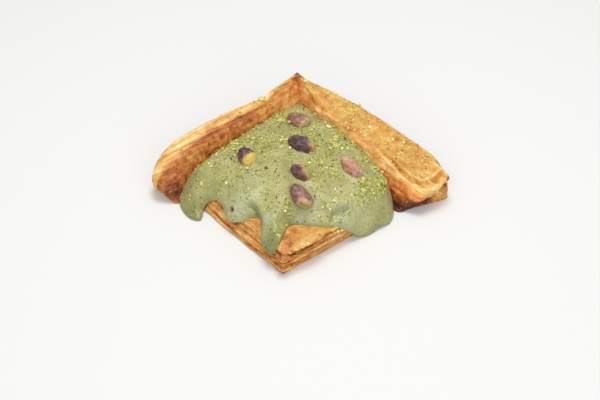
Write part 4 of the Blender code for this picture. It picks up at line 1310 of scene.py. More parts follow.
stretches[:, 2] = over_dough(*stretches[:, :3].T)
rim[:, 2] = over_dough(*rim[:, :3].T)
print("rim runs from", round(float(rim[:, 2].min()), 1), "to", round(float(rim[:, 2].max()), 1), "mm high")

# %% [markdown]
# ## Folds, rolls and kernels in the cream
# Thick cream keeps the marks of its pouring. Shallow folds run over it, and in two
# places the sheet rolled over itself and left a step with a crease under it. It also
# draws up against each kernel. A brush could press these in one by one, but then a new
# outline would mean doing it all again. As formulas of the place they follow any change.

# %% The cream's folds
# Each fold is a line, how wide it is and how deep.
CREAM_FOLDS = (
    (((16, 34), (7, 22)), 3.2, 1.2),
    (((40, 12), (52, 2)), 3.0, 0.9),
    (((6, 62), (20, 60)), 3.5, 0.8),
)


def folds_at(p, q):
    """How deep the soft folds press the cream."""
    depth = 0.0
    for line, width, deepest in CREAM_FOLDS:
        away, _ = line_distance(p, q, line)
        depth = depth + deepest * peak(away, width)
    return depth


print("folds press in by", [deepest for *_, deepest in CREAM_FOLDS], "mm")

# %% The cream's rolled edges
LEFT_ROLL = (
    (5.0, 39.4),
    (6.4, 36.6),
    (7.6, 34.4),
    (8.3, 31.8),
    (7.9, 28.4),
    (6.4, 24.6),
    (4.3, 21.2),
    (2.4, 17.8),
)
RIGHT_ROLL = ((30.0, 1.2), (31.6, 3.4), (34.6, 4.0), (38.2, 3.3), (42.0, 2.2), (46.5, 0.8))

# Each roll is a line, how sharp its step is, how high, and how far it reaches. The higher
# side is on the line's left.
CREAM_ROLLS = ((LEFT_ROLL, 0.35, 1.8, 4.0), (RIGHT_ROLL, 0.45, 1.5, 4.5))
ROLL_FADE_IN, ROLL_FADE_OUT = 0.3, 0.25
UNDERCUT_DEPTH, UNDERCUT_WIDTH = 0.7, 1.6
# Where the painted shade in each crease lies and how wide it is, in steps of the roll's sharpness.
ROLL_SHADE_AT, ROLL_SHADE_WIDTH = 1.2, 2.2


def rolls_at(p, q):
    """Steps in the cream beside the lines where it rolled over, and painted shade in the crease under each.
    """
    rise = 0.0
    shade_in_creases = np.zeros(p.shape)
    for line, sharp, high, far in CREAM_ROLLS:
        away, share = line_distance(p, q, line)
        fade = fade_in(share, 0.0, ROLL_FADE_IN) * fade_in(share, 1.0, 1.0 - ROLL_FADE_OUT)
        step = 0.5 * (1.0 + np.tanh(away / sharp)) * peak(away, far)
        undercut = UNDERCUT_DEPTH * peak(away + UNDERCUT_WIDTH * sharp, UNDERCUT_WIDTH * sharp)
        rise = rise + high * fade * (step - undercut)
        shade_in_creases = np.maximum(shade_in_creases, fade * peak(away + ROLL_SHADE_AT * sharp, ROLL_SHADE_WIDTH * sharp))
    return rise, shade_in_creases


print("the cream rolls over itself along", len(CREAM_ROLLS), "lines")

# %% Cream against the kernels
# Each kernel is P, Q, length, width, thickness, then how many degrees it is turned and dips.
KERNELS = {
    "nut_kernel_1": (62.6, 64.1, 13.0, 8.6, 7.4, -62, 8),
    "nut_kernel_2": (49.4, 46.3, 15.0, 8.8, 7.8, -68, 4),
    "nut_kernel_3": (23.3, 58.1, 12.0, 8.8, 8.0, -95, 12),
    "nut_kernel_4": (35.5, 29.6, 12.2, 7.6, 7.0, -78, 8),
    "nut_kernel_5": (58.8, 17.7, 14.5, 7.6, 7.0, -92, 14),
    "nut_kernel_6": (26.0, 17.9, 15.5, 9.2, 8.0, -93, 14),
}
KERNEL_EDGE = 0.95
DRAWN_UP, DRAWN_OVER = 0.45, 0.9
DIPS_BY, DIPS_AT, DIPS_OVER = 0.18, 3.2, 1.8
# How far painted shade reaches out from a kernel's edge.
KERNEL_SHADE_OVER = 1.2


def by_kernels(p, q):
    """The cream that draws up against each kernel, and how much painted shade falls near one."""
    rise = 0.0
    near = np.zeros(p.shape)
    for kernel_p, kernel_q, length, width, _, spin, _ in KERNELS.values():
        turn = math.radians(spin)
        along = (p - kernel_p) * math.cos(turn) + (q - kernel_q) * math.sin(turn)
        across = -(p - kernel_p) * math.sin(turn) + (q - kernel_q) * math.cos(turn)
        edge = np.hypot(along / (length / 2), across / (width / 2))
        away = (edge - KERNEL_EDGE) * width / 2
        outside = np.maximum(away, 0.0)
        rise = rise + DRAWN_UP * np.exp(-outside / DRAWN_OVER) - DIPS_BY * peak(away - DIPS_AT, DIPS_OVER)
        near = np.maximum(near, np.exp(-outside / KERNEL_SHADE_OVER))
    return rise, near


print("kernels are", sorted(length for _, _, length, *_ in KERNELS.values()), "mm long")

# %% [markdown]
# ## From the rim to the dome
# Poured cream stands round at its edge, spreads as a thin sheet over the dough, and
# rises to a soft dome in the middle. Inflating a flat mesh would dome it too, but evenly
# and with no sheet. Here the height at a spot comes from how far the rim is, and from
# the rim's own height nearby, so a low lobe and a high shoulder blend into each other.

# %% How far a spot lies from the rim
RIM_REACH, RIM_SPREAD = 1.2, 0.35
CHUNK = 1500


def to_stretches(p, q, curve):
    """Distances from spots to each stretch of a closed curve, and the share along each."""
    along = np.roll(curve, -1, axis=0)[:, :2] - curve[:, :2]
    off_p, off_q = p[:, None] - curve[:, 0], q[:, None] - curve[:, 1]
    t = np.clip((off_p * along[:, 0] + off_q * along[:, 1]) / (along**2).sum(axis=1), 0.0, 1.0)
    return np.hypot(off_p - t * along[:, 0], off_q - t * along[:, 1]), t


def distance_in(p, q, curve):
    """Distance from each spot to the nearest stretch of a curve."""
    parts = range(0, len(p), CHUNK)
    gaps = [to_stretches(p[k:k + CHUNK], q[k:k + CHUNK], curve)[0] for k in parts]
    return np.concatenate([gap.min(axis=1) for gap in gaps])


def rim_near(p, q):
    """Height of the rim close by, then its mean distance, height and fullness around."""
    rows = []
    climb = np.roll(stretches, -1, axis=0)[:, 2:] - stretches[:, 2:]
    for k in range(0, len(p), CHUNK):
        gap, t = to_stretches(p[k:k + CHUNK], q[k:k + CHUNK], stretches)
        away = gap.min(axis=1, keepdims=True)
        z = stretches[:, 2] + climb[:, 0] * t
        full = stretches[:, 3] + climb[:, 1] * t
        close = np.exp((away - gap) / RIM_REACH)
        wide = np.exp((away - gap) / (RIM_REACH + RIM_SPREAD * away))
        means = [(wide * value).sum(axis=1) / wide.sum(axis=1) for value in (gap, z, full)]
        rows.append(np.stack([(close * z).sum(axis=1) / close.sum(axis=1), *means], axis=-1))
    return np.concatenate(rows).T


middle_gap = distance_in(np.array([45.0]), np.array([44.0]), rim)
print("the rim is", round(float(middle_gap[0]), 1), "mm away from the middle")

# %% The cream's height
CREAM_CENTRE, CREAM_TOP = (45.0, 44.0), 26.5
LIP_HEIGHT, LIP_WIDTH = 2.0, 2.2
THICKEN, THICKEN_MORE = 0.25, 0.11
BED_HEIGHT, BED_BLEND = 14.2, 2.5
MEET_SOFT, MEET_SOFTER, MEET_SPAN = 0.1, 1.0, 4.0
SWELL, SWELL_SIZE = 0.7, 16.0
RIPPLE, RIPPLE_SIZE = 0.12, 6.0
TUCK_IN, TUCK_DOWN, LOWEST_CREAM, HIGHEST_TUCK = 0.9, 0.8, 0.4, 10.0
CREAM_FLOOR, FLOOR_FROM, FLOOR_OVER, LEAST_THICK = 8.0, 4.0, 8.0, 1.5


def lower_of(a, b, soft):
    """The lower of two heights, rounded where they cross."""
    return -soft * np.logaddexp(-a / soft, -b / soft)


def cream_height(p, q):
    """Height of the cream: a dome in the middle, and a sheet over the dough near the rim."""
    away = distance_in(p, q, rim)
    rim_z, far, calm_z, full = rim_near(p, q)
    out = np.hypot(p - CREAM_CENTRE[0], q - CREAM_CENTRE[1])
    shoulder = (1.0 - (out / (out + far)) ** full) ** (1.0 / full)
    dome = calm_z + (CREAM_TOP - calm_z) * shoulder
    bed = BED_HEIGHT * fade_in(q, -6.5, -2.0) * fade_in(p, -4.5, 4.5)
    lift = np.maximum(bed - rim_z, 0.0) * ease(away / BED_BLEND)
    lip = np.sqrt(1.0 - (1.0 - np.clip(away / LIP_WIDTH, 0.0, 1.0)) ** 2)
    sheet = rim_z + lift + LIP_HEIGHT * lip + THICKEN * away + THICKEN_MORE * away**2
    z = lower_of(dome, sheet, MEET_SOFT + MEET_SOFTER * ease(away / MEET_SPAN))
    spot = on_sheet(p, q)
    swell = SWELL * cloud(spot, SWELL_SIZE, 101) + RIPPLE * hills(spot, RIPPLE_SIZE, 103, 2)
    return z + shoulder * ease(away / MEET_SPAN) * (swell - folds_at(p, q)), away


def floor_height(p, q):
    """Height of the underside: tucked in under the lip, low over the sides of the dough."""
    top, away = cream_height(p, q)
    low = np.clip(rim_near(p, q)[0] - TUCK_DOWN, LOWEST_CREAM, HIGHEST_TUCK)
    return low + (np.minimum(CREAM_FLOOR, top - LEAST_THICK) - low) * ease((away - FLOOR_FROM) / FLOOR_OVER)


middle_height, _ = cream_height(np.array([CREAM_CENTRE[0]]), np.array([CREAM_CENTRE[1]]))
print("in the middle the cream is", round(float(middle_height[0]), 1), "mm high")

# %% [markdown]
# ## A skin over the cream
# The rim winds in and out, so a plain grid would be cut off raggedly along it, and a
# remeshed blob would lose its thin lip. Triangles that are spun between the rim, a few
# rows just inside it and an even grid of points keep the edge smooth and the middle
# regular. The heights are then evened out a little, as cream levels itself.

# %% A net of points within a border
CREAM_ROWS = (0.12, 0.35, 0.75, 1.3)
CREAM_STEP = 0.42


def moved_in(curve, inward):
    """A closed curve's points, each moved square to the curve and inward."""
    along = np.roll(curve, -1, axis=0)[:, :2] - np.roll(curve, 1, axis=0)[:, :2]
    along /= np.linalg.norm(along, axis=1, keepdims=True)
    return curve[:, :2] + inward * np.stack((along[:, 1], -along[:, 0]), axis=-1)


def within(p, q, border):
    """Whether each spot lies within a closed border."""
    inside = np.zeros(len(p), bool)
    for (a_p, a_q), (b_p, b_q) in zip(border, np.roll(border, -1, axis=0)):
        if a_q != b_q:
            left_of = p < a_p + (b_p - a_p) * (q - a_q) / (b_q - a_q)
            inside ^= ((a_q > q) != (b_q > q)) & left_of
    return inside


def net(border, rows, step, clear):
    """Triangles within a closed border, over rows of points and an even grid."""
    low, high = border.min(axis=0), border.max(axis=0)
    row_gap = step * math.sqrt(0.75)
    row_count, in_row = int((high[1] - low[1]) / row_gap) + 1, int((high[0] - low[0]) / step) + 1
    j, i = np.mgrid[0:row_count, 0:in_row]
    grid_p, grid_q = (low[0] + (i + 0.5 * (j % 2)) * step).ravel(), (low[1] + j * row_gap).ravel()
    inside = within(grid_p, grid_q, border)
    grid_p, grid_q = grid_p[inside], grid_q[inside]
    kept = distance_in(grid_p, grid_q, border) > clear
    spots = np.concatenate((border, *rows, np.stack((grid_p, grid_q), axis=-1)[kept]))
    edges = [(k, (k + 1) % len(border)) for k in range(len(border))]
    flat, _, faces, *_ = delaunay_2d_cdt([Vector(spot) for spot in spots], edges, [], 1, 1e-6)
    return np.array([point[:] for point in flat]), [list(face) for face in faces]


rows = []
for inward in CREAM_ROWS:
    row = moved_in(rim, inward)
    rows.append(row[distance_in(row[:, 0], row[:, 1], rim) > 0.9 * inward])
spots, upper_faces = net(rim[:, :2], rows, CREAM_STEP, CREAM_ROWS[-1] + 0.6 * CREAM_STEP)
print("the cream's upper skin has", len(spots), "points and", len(upper_faces), "faces")

# %% The cream's upper skin
EVENED_FROM, EVENED_OVER, EVENED_TIMES = 0.6, 2.0, 150
BUBBLE_AT, BUBBLE_SIZE, BUBBLE_DEPTH, BUBBLE_SLOPE = (1.3, 43.6), 1.4, 1.4, 0.8


def evened(values, faces, weight, times):
    """Values on a net, evened out with their neighbours' where a weight allows it."""
    corners = np.array(faces)
    pairs = np.concatenate([corners[:, [a, b]] for a, b in ((0, 1), (1, 2), (2, 0))])
    pairs = np.concatenate((pairs, pairs[:, ::-1]))
    count = np.bincount(pairs[:, 0], minlength=len(values))
    for _ in range(times):
        total = np.bincount(pairs[:, 0], values[pairs[:, 1]], minlength=len(values))
        mean = total / np.maximum(count, 1)
        values = values + 0.5 * weight * (mean - values)
    return values


p, q = spots.T
z, away = cream_height(p, q)
z = evened(z, upper_faces, ease((away - EVENED_FROM) / EVENED_OVER), EVENED_TIMES)
kernel_rise, shade_by_kernels = by_kernels(p, q)
roll_rise, roll_shade = rolls_at(p, q)
z = z + fade_in(away, 0.0, 5.0) * kernel_rise + fade_in(away, 0.0, 1.6) * roll_rise
z = over_dough(p, q, z)
upper = np.stack((p, q, z), axis=-1)

# The bubble is a round pit in the skin.
nearest = np.argmin(np.hypot(p - BUBBLE_AT[0], q - BUBBLE_AT[1]))
to_bubble = np.linalg.norm(upper - upper[nearest], axis=1)
pit = np.exp(-((to_bubble / BUBBLE_SIZE) ** 4))
inward_p, inward_q = CREAM_CENTRE[0] - BUBBLE_AT[0], CREAM_CENTRE[1] - BUBBLE_AT[1]
inward_way = np.array((inward_p, inward_q, -BUBBLE_SLOPE * math.hypot(inward_p, inward_q)))
upper = upper + BUBBLE_DEPTH * pit[:, None] * inward_way / np.linalg.norm(inward_way)
print("cream rises to", round(float(z.max()), 1), "mm")

# %% [markdown]
# ## Where nut was strewn
# A hand that strews nut leaves it thick in some places and thin in others: here it lies
# thick at the back, by the right wall and on its top, and the front lobes are nearly
# bare. A density map painted on the mesh is the usual way. A formula of the place does
# the same for the cream's specks and for the lumps on all pieces, so that they agree.

# %% How thickly nut lies
# P, Q, radius and how much, for places that are barer or thicker than those around them.
BARE_LOBES = ((2.0, 40.0, 8.0, 1.0), (2.0, 14.0, 8.0, 0.8), (-8.0, 66.0, 8.0, 0.8))
THICK_PATCHES = ((66.0, 68.0, 11.0, 1.0), (68.0, 50.0, 9.0, 0.7), (72.0, 4.0, 9.0, 0.9))
RIGHT_LOBE_TIP = ((73.0, 3.0, 7.0, 0.45),)
PATCH_SIZE, PATCH_SHARE, PATCH_SPREAD = 5.5, 0.42, 1.15
LEAST_SHARE, MOST_SHARE = 0.06, 1.3


def strewing(p, q):
    """How thickly nut was strewn at a spot, from 0 to 1."""
    right_wall = fade_in(p, 72.0, 80.0) * (0.30 + 0.40 * fade_in(q, 5.0, 55.0))
    left_wall = fade_in(q, 76.0, 82.0) * (0.03 + 0.35 * fade_in(p, 45.0, 70.0))
    back = 0.30 + 0.60 * fade_in(p + q, 55.0, 115.0)
    right_side = 0.35 * fade_in(p - q, -5.0, 35.0)
    front = 1.0 - 0.60 * fade_in(p + q, 34.0, 4.0)
    lobes = 1.0 - 0.75 * np.clip(bump_at(p, q, BARE_LOBES), 0.0, 1.0)
    on_cream = np.clip(back + right_side, 0.0, 1.0) * front * lobes * fade_in(q, 82.0, 76.0)
    on_cream = on_cream + 0.75 * bump_at(p, q, THICK_PATCHES)
    thick = np.maximum(np.maximum(right_wall, left_wall), on_cream)
    patchy = PATCH_SHARE + PATCH_SPREAD * cloud(on_sheet(p, q), PATCH_SIZE, 301)
    patchy = np.clip(patchy, LEAST_SHARE, MOST_SHARE)
    return np.clip(thick * patchy + bump_at(p, q, RIGHT_LOBE_TIP), 0.0, 1.0)


print("strewing at the back corner:", np.round(strewing(np.array([75.0]), np.array([75.0])), 2))

# %% [markdown]
# ## The lip and the underside
# The cream's edge is a round bead that curls in under itself and meets the dough. A
# solidify modifier would give a square edge. So rings of points follow a quarter circle
# from the rim down and in, and a coarse net closes the underside, which nobody sees.

# %% The cream's lip and underside
BEAD_STEPS, UNDER_STEP = 6, 4.0

lips = []
for k in range(1, BEAD_STEPS + 1):
    turn = 0.5 * math.pi * k / BEAD_STEPS
    flat_ring = moved_in(rim, TUCK_IN * (1.0 - math.cos(turn)))
    low = np.clip(rim[:, 2] - TUCK_DOWN, LOWEST_CREAM, HIGHEST_TUCK)
    lips.append(np.column_stack((flat_ring, rim[:, 2] + (low - rim[:, 2]) * math.sin(turn))))
under, under_faces = net(lips[-1][:, :2], [], UNDER_STEP, 0.7 * UNDER_STEP)
under = np.column_stack((under, floor_height(*under.T)))
under[:len(rim)] = lips[-1]

points = np.concatenate((upper, *lips[:-1], under))
starts = [0] + [len(upper) + k * len(rim) for k in range(BEAD_STEPS)]
ring = np.arange(len(rim))
ahead = np.roll(ring, -1)
faces = list(upper_faces)
for a, b in zip(starts, starts[1:]):
    faces += np.stack((a + ring, b + ring, b + ahead, a + ahead), axis=-1).tolist()
faces += [[starts[-1] + i for i in face] for face in under_faces]
print("the lip and the underside add", len(faces) - len(upper_faces), "faces")

# %% The cream's mesh and marks
LIP_SHADE, DUSTED_AT = 1.1, 0.8

# Painted highlights, paler and cooler, along the cream's front: P, Q, radius and how much.
PAINTED_SHEEN_SPOTS = (
    (3.0, 39.0, 5.5, 0.9),
    (9.0, 35.0, 3.5, 0.5),
    (7.0, 22.0, 4.0, 1.0),
    (20.0, 11.0, 3.5, 0.7),
    (26.0, 9.0, 4.5, 0.8),
    (36.0, 2.5, 4.0, 0.9),
    (41.0, 1.0, 4.0, 0.9),
    (49.0, 1.0, 5.0, 0.5),
    (-1.0, 57.0, 4.0, 0.4),
    (12.0, 49.0, 9.0, 0.3),
)

# Painted shade where the cream hangs over an edge and beside its folds: P, Q, radius and how much.
PAINTED_SHADE_SPOTS = (
    (1.5, 13.0, 5.0, 0.8),
    (-0.5, 8.0, 6.0, 1.0),
    (-8.0, 65.0, 7.0, 1.0),
    (-2.0, 76.0, 6.0, 0.5),
    (18.0, 17.0, 5.0, 0.6),
    (6.0, 30.0, 2.0, 0.5),
    (57.0, -4.0, 6.0, 0.35),
    (71.0, 0.0, 7.0, 0.4),
)

spare = len(points) - len(upper)
# Most marks below are painted light: shade inside the bubble's pit, round the kernels, along the rounded lip,
# in the creases and where the cream hangs over an edge, and painted highlights along the front. Only the dust
# mark is the cream's own colour.
cream = shell_of("pistachio_green_cream", points, faces, {
    "pit": np.pad(pit, (0, spare)),
    "kernel_shade": np.pad(shade_by_kernels, (0, spare)),
    "lip": np.pad(peak(away, LIP_SHADE), (0, spare), constant_values=1.0),
    "crease": np.pad(roll_shade, (0, spare)),
    "pale": np.clip(bump_at(points[:, 0], points[:, 1], PAINTED_SHEEN_SPOTS), 0.0, 1.0),
    "dim": np.clip(bump_at(points[:, 0], points[:, 1], PAINTED_SHADE_SPOTS), 0.0, 1.0),
    "dusty": ease(strewing(points[:, 0], points[:, 1]) / DUSTED_AT),
})
cream.data.shade_smooth()
print("cream has", len(cream.data.polygons), "faces")

# %% [markdown]
# ## The cream's finish
# It is a soft sage green with a satin gloss, and light goes a short way into it, so its
# shadows stay soft. Painted highlights make it paler and cooler along its front, and
# painted shade darkens it where it hangs over an edge, along its rounded lip, in the
# creases under its rolls, round each kernel and inside the bubble. Ground nut in it shows
# as faint mottling and tiny specks. One even green would look like plastic, so the marks
# of the mesh and some noise tint it in layers.

# %% Cream finish
CREAM_SHEEN = 0.4
CREAM_TONES = ((0.3, tone(163, 158, 98)), (0.7, tone(190, 185, 128)))
PAINTED_SHEEN_TONE = tone(198, 200, 164)
CREAM_MOTTLE = ((0.30, (0.75, 0.77, 0.68)), (0.70, (1.12, 1.12, 1.14)))
YELLOW_SPECK, DARK_SPECK, SHADE_IN_THE_BUBBLE = tone(208, 206, 120), tone(78, 74, 44), tone(58, 48, 32)

# Each mark of painted shade on the cream, how strongly, and what it multiplies the colour by:
# where it hangs over an edge, along its rounded lip, in the creases under its rolls, and round each kernel.
CREAM_PAINTED_SHADES = (
    ("dim", 0.8, (0.58, 0.61, 0.58, 1.0)),
    ("lip", 0.55, (0.66, 0.70, 0.66, 1.0)),
    ("crease", 0.85, (0.54, 0.55, 0.42, 1.0)),
    ("kernel_shade", 0.45, (0.66, 0.68, 0.60, 1.0)),
)

cream_paint, cream_shader = new_paint("nut cream", 0.36, 0.002, 0.30)
cream_shader.inputs["Specular IOR Level"].default_value = CREAM_SHEEN


def dots(paint, apart, small, large, share):
    """Round dots of uneven size, `apart` millimetres on average: 1 inside, 0 outside."""
    where = add_node(paint, "ShaderNodeTexCoord").outputs["Object"]
    cells = add_node(paint, "ShaderNodeTexVoronoi", {"feature": "F1"}, Vector=where, Scale=1.0 / (apart * MM))
    pick = add_node(paint, "ShaderNodeSeparateColor", Color=cells.outputs["Color"])
    size = add_node(paint, "ShaderNodeMapRange", Value=pick.outputs[0], i3=small / apart, i4=large / apart)
    inside = sums(paint, "LESS_THAN", cells.outputs["Distance"], size.outputs[0])
    chosen = sums(paint, "LESS_THAN", pick.outputs[1], share)
    return sums(paint, "MULTIPLY", inside, chosen)


base = ramp_of(cream_paint, grains(cream_paint, 8.0, 3.0), CREAM_TONES)
# Painted highlights make the cream paler and cooler in spots along its front.
painted_sheen_share = sums(cream_paint, "MULTIPLY", mark_of(cream_paint, "pale"), 0.8)
base = mix_tones(cream_paint, painted_sheen_share, base, PAINTED_SHEEN_TONE)
mottled = ramp_of(cream_paint, grains(cream_paint, 1.2, 4.0), CREAM_MOTTLE)
base = mix_tones(cream_paint, 0.8, base, mottled, "MULTIPLY")
# Painted shade darkens the cream where these marks lie.
for mark, strength, shade in CREAM_PAINTED_SHADES:
    share = sums(cream_paint, "MULTIPLY", mark_of(cream_paint, mark), strength)
    base = mix_tones(cream_paint, share, base, shade, "MULTIPLY")
dusty = mark_of(cream_paint, "dusty")
yellow_dots = sums(cream_paint, "MULTIPLY", dots(cream_paint, 1.0, 0.14, 0.40, 0.5), dusty)
dark_dots = dots(cream_paint, 1.4, 0.14, 0.40, 0.4)
base = mix_tones(cream_paint, sums(cream_paint, "MULTIPLY", yellow_dots, 0.75), base, YELLOW_SPECK)
base = mix_tones(cream_paint, sums(cream_paint, "MULTIPLY", dark_dots, 0.8), base, DARK_SPECK)
# The bubble's pit is painted dark, as shade inside it.
base = mix_tones(cream_paint, mark_of(cream_paint, "pit"), base, SHADE_IN_THE_BUBBLE)
cream_paint.node_tree.links.new(base, cream_shader.inputs["Base Color"])
press_in(cream_paint, cream_shader, grains(cream_paint, 0.9, 2.0), 0.07)
cream.data.materials.append(cream_paint)
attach(cream, "root")
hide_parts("cream")
print("cream's marks:", [mark for mark, *_ in CREAM_PAINTED_SHADES])

# %% [markdown]
# ## The kernels
# Six whole kernels lie on the cream, each with a dry, wrinkled, purple-brown skin. The
# skin has rubbed off in places and shows the bright yellow-green nut. Sculpting six by
# hand would take long, and each must sit where its solid lies. So each kernel is a grid
# of rings along its length: blunt at one end, a little pointed at the other, with a
# cleft down one side. Where it is bare the surface lies a hair lower, with a ragged edge
# of skin round it.

# %% A kernel's form
KERNEL_ROUND, KERNEL_LONG = 72, 56
KERNEL_BLUNT, KERNEL_TAPER, KERNEL_UNEVEN = 0.85, 0.16, 0.10
CLEFT_DEPTH, CLEFT_WIDTH = 0.10, 0.25
RIB_HEIGHT, RIB_ALONG, RIB_AROUND = 0.24, 0.9, 3.2
WRINKLE_HEIGHT, WRINKLE_SIZE = 0.10, 1.1
SKIN_THICKNESS, SKIN_EDGE = 0.16, 0.02
RAGGED_BY, RAGGED_SIZE = 0.10, 0.7
RUBBED_OVER, RUBBED_PALER, RIB_GREENER = 0.4, 0.45, 0.35

# How dark the skin is, how red it is, and where the nut is bare: a direction along the
# kernel's own axes, how far out the bare part starts, and how green it is. Just before
# the bare part the skin is rubbed, and so it is paler there.
KERNEL_LOOKS = {
    "nut_kernel_1": (0.52, 0.35, ((0.9, -0.2, 0.1), 0.76, 0.75)),
    "nut_kernel_2": (0.86, 0.30, ((0.95, 0.35, 0.2), 0.88, 0.30)),
    "nut_kernel_3": (1.00, 0.30, ((1.0, 0.1, 0.1), 0.30, 0.12)),
    "nut_kernel_4": (0.84, 1.00, ((0.6, 0.75, 0.2), 0.34, 0.55)),
    "nut_kernel_5": (0.28, 0.50, ((-0.8, 0.2, 0.55), 1.00, 0.0)),
    "nut_kernel_6": (0.58, 0.35, ((0.9, -0.4, 0.0), 0.80, 0.74)),
}


def kernel_form(name, seed):
    """A kernel's grid in its own axes, long along X, and the marks on it."""
    _, _, length, width, thickness, _, _ = KERNELS[name]
    darkness, redness, (bare_way, bare_from, greenness) = KERNEL_LOOKS[name]
    angle = math.pi * (np.arange(KERNEL_LONG) + 0.5)[:, None] / KERNEL_LONG
    about = math.tau * np.arange(KERNEL_ROUND)[None, :] / KERNEL_ROUND
    along = np.cos(angle) * np.ones_like(about)
    across, up = np.cos(about) * np.ones_like(angle), np.sin(about) * np.ones_like(angle)
    girth = np.sin(angle) ** KERNEL_BLUNT * (1.0 + KERNEL_TAPER * along)
    unit = np.stack((along * 2.0, across * girth, up * girth), -1)
    girth = girth * (1.0 + KERNEL_UNEVEN * cloud(unit, 1.0, seed))
    cleft = 1.0 - CLEFT_DEPTH * peak(up, CLEFT_WIDTH) * (across > 0.0)
    grid = np.stack(
        (0.5 * length * along, 0.5 * width * girth * across * cleft, 0.5 * thickness * girth * up), -1
    )
    toward = np.array(bare_way) / np.linalg.norm(bare_way)
    facing = along * toward[0] + across * girth * toward[1] + up * girth * toward[2]
    ragged = RAGGED_BY * hills(unit, RAGGED_SIZE, seed + 3, 2)
    bare = 1.0 / (1.0 + np.exp(-(facing - bare_from + ragged) / SKIN_EDGE))
    rib_at = np.stack((along * RIB_ALONG, across * RIB_AROUND, up * RIB_AROUND), -1)
    ribs = cloud(rib_at, 1.0, seed + 5)
    wrinkle = hills(grid * (0.6, 1.0, 1.0), WRINKLE_SIZE, seed + 7, 3)
    over_nut = (1.0 - bare) * (WRINKLE_HEIGHT * wrinkle + SKIN_THICKNESS)
    relief = RIB_HEIGHT * ribs + over_nut - 0.5 * SKIN_THICKNESS
    relief *= np.sin(angle) ** 0.5
    rubbed = ease((facing - bare_from + RUBBED_OVER) / RUBBED_OVER)
    return grid + outward(grid) * relief[:, :, None], {
        "bare": bare,
        "wrinkle": wrinkle,
        "dark": darkness - RUBBED_PALER * rubbed,
        "red": np.full(bare.shape, redness),
        "green": np.full(bare.shape, greenness) + RIB_GREENER * ribs,
    }


print("a kernel's grid has", KERNEL_LONG, "rings of", KERNEL_ROUND, "points")

# %% Lay the kernels down


def kernel_skin(name, seed):
    """One whole kernel, seated where its solid lies."""
    p, q, _, _, _, spin, dip = KERNELS[name]
    made = skin(name + "_skin", *kernel_form(name, seed))

    # `skin` lays the grid at the front corner, so the kernel is turned about that point.
    corner = Vector(lay((0.0, 0.0, 0.0)))
    own = Matrix.Rotation(-TURN, 4, "Z") @ Matrix.Translation(-corner)
    turn = Matrix.Rotation(TURN + math.radians(spin), 4, "Z") @ Matrix.Rotation(math.radians(dip), 4, "Y")
    made.data.transform(turn @ own)
    low = min(vertex.co.z for vertex in made.data.vertices)
    solid_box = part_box(name)
    spot = Vector(lay((p, q, 0.0)))
    spot.z = solid_box[0][2] - low
    made.data.transform(Matrix.Translation(spot))
    made.data.shade_smooth()
    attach(made, "root")
    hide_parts(name)
    return made


kernels = [kernel_skin(name, 200 + 20 * k) for k, name in enumerate(sorted(KERNELS))]
print("kernels:", [k.name for k in kernels])

# %% [markdown]
# ## The kernels' finish
# The skin is dry and papery: pale where it is rubbed and nearly black in its folds, with
# red in it on one kernel. Where it is gone the nut shows, from yellow to green. A finish
# for each kernel would be six to keep alike. So they share one, and the marks that each
# mesh carries set its tones.

# %% Kernel finish
SKIN_TONES = (
    (0.0, tone(214, 178, 142)),
    (0.3, tone(182, 138, 110)),
    (0.6, tone(138, 102, 86)),
    (0.85, tone(98, 74, 70)),
    (1.0, tone(70, 52, 54)),
)
RED_SKIN, WRINKLE_DARKER = (1.05, 0.82, 0.98, 1.0), 0.28
NUT_TONES = ((0.0, tone(222, 194, 94)), (0.5, tone(186, 166, 96)), (1.0, tone(132, 128, 68)))
KERNEL_MOTTLE = ((0.3, (0.72, 0.70, 0.72)), (0.7, (1.1, 1.08, 1.05)))

kernel_paint, kernel_shader = new_paint("kernel skin and nut", 0.55, 0.0008, 0.12)
wrinkled = sums(kernel_paint, "MULTIPLY", mark_of(kernel_paint, "wrinkle"), WRINKLE_DARKER)
how_dark = sums(kernel_paint, "ADD", mark_of(kernel_paint, "dark"), wrinkled)
skin_tone = ramp_of(kernel_paint, how_dark, SKIN_TONES)
skin_tone = mix_tones(kernel_paint, mark_of(kernel_paint, "red"), skin_tone, RED_SKIN, "MULTIPLY")
nut_tone = ramp_of(kernel_paint, mark_of(kernel_paint, "green"), NUT_TONES)
kernel_colour = mix_tones(kernel_paint, mark_of(kernel_paint, "bare"), skin_tone, nut_tone)
kernel_mottle = ramp_of(kernel_paint, grains(kernel_paint, 1.2, 3.0), KERNEL_MOTTLE)
kernel_colour = mix_tones(kernel_paint, 1.0, kernel_colour, kernel_mottle, "MULTIPLY")
kernel_paint.node_tree.links.new(kernel_colour, kernel_shader.inputs["Base Color"])
press_in(kernel_paint, kernel_shader, grains(kernel_paint, 0.5, 3.0), 0.12)
for made in kernels:
    made.data.materials.append(kernel_paint)
print("the skin runs through", len(SKIN_TONES), "tones, the bare nut through", len(NUT_TONES))

# %% [markdown]
# ## Ground and chopped nut
# Ground nut was strewn over everything: a fine yellow-green dust with dark flecks of
# nut skin, thicker on the right wall and at the back. Scattering it by hand is
# hopeless, and particle instances would be lost on export. So each kind is one real
# mesh of many small broken lumps. First, all food goes into one search tree, so that a
# ray from above finds where a lump comes to lie and on which piece.

# %% The food as one search tree
ABOVE_ALL = 100.0
food_tree = tree_of(crust, cream, *kernels)
cream_from = len(crust.data.polygons)
kernels_from = cream_from + len(cream.data.polygons)


def drop_on_food(spot):
    """Where a ray from above meets the food: place, direction out of it and face."""
    return food_tree.ray_cast(Vector(spot), Vector((0.0, 0.0, -1.0)))[:3]


print("cream starts at face", cream_from, "and the kernels at face", kernels_from)

# %% [markdown]
# ## One broken lump
# Nut breaks into uneven, faceted lumps, a little longer than they are thick. A texture
# of dots would have no shadows. A ball with its corners pulled in and out by chance is
# enough for crumbs this small, and for the finest dust eight faces do.

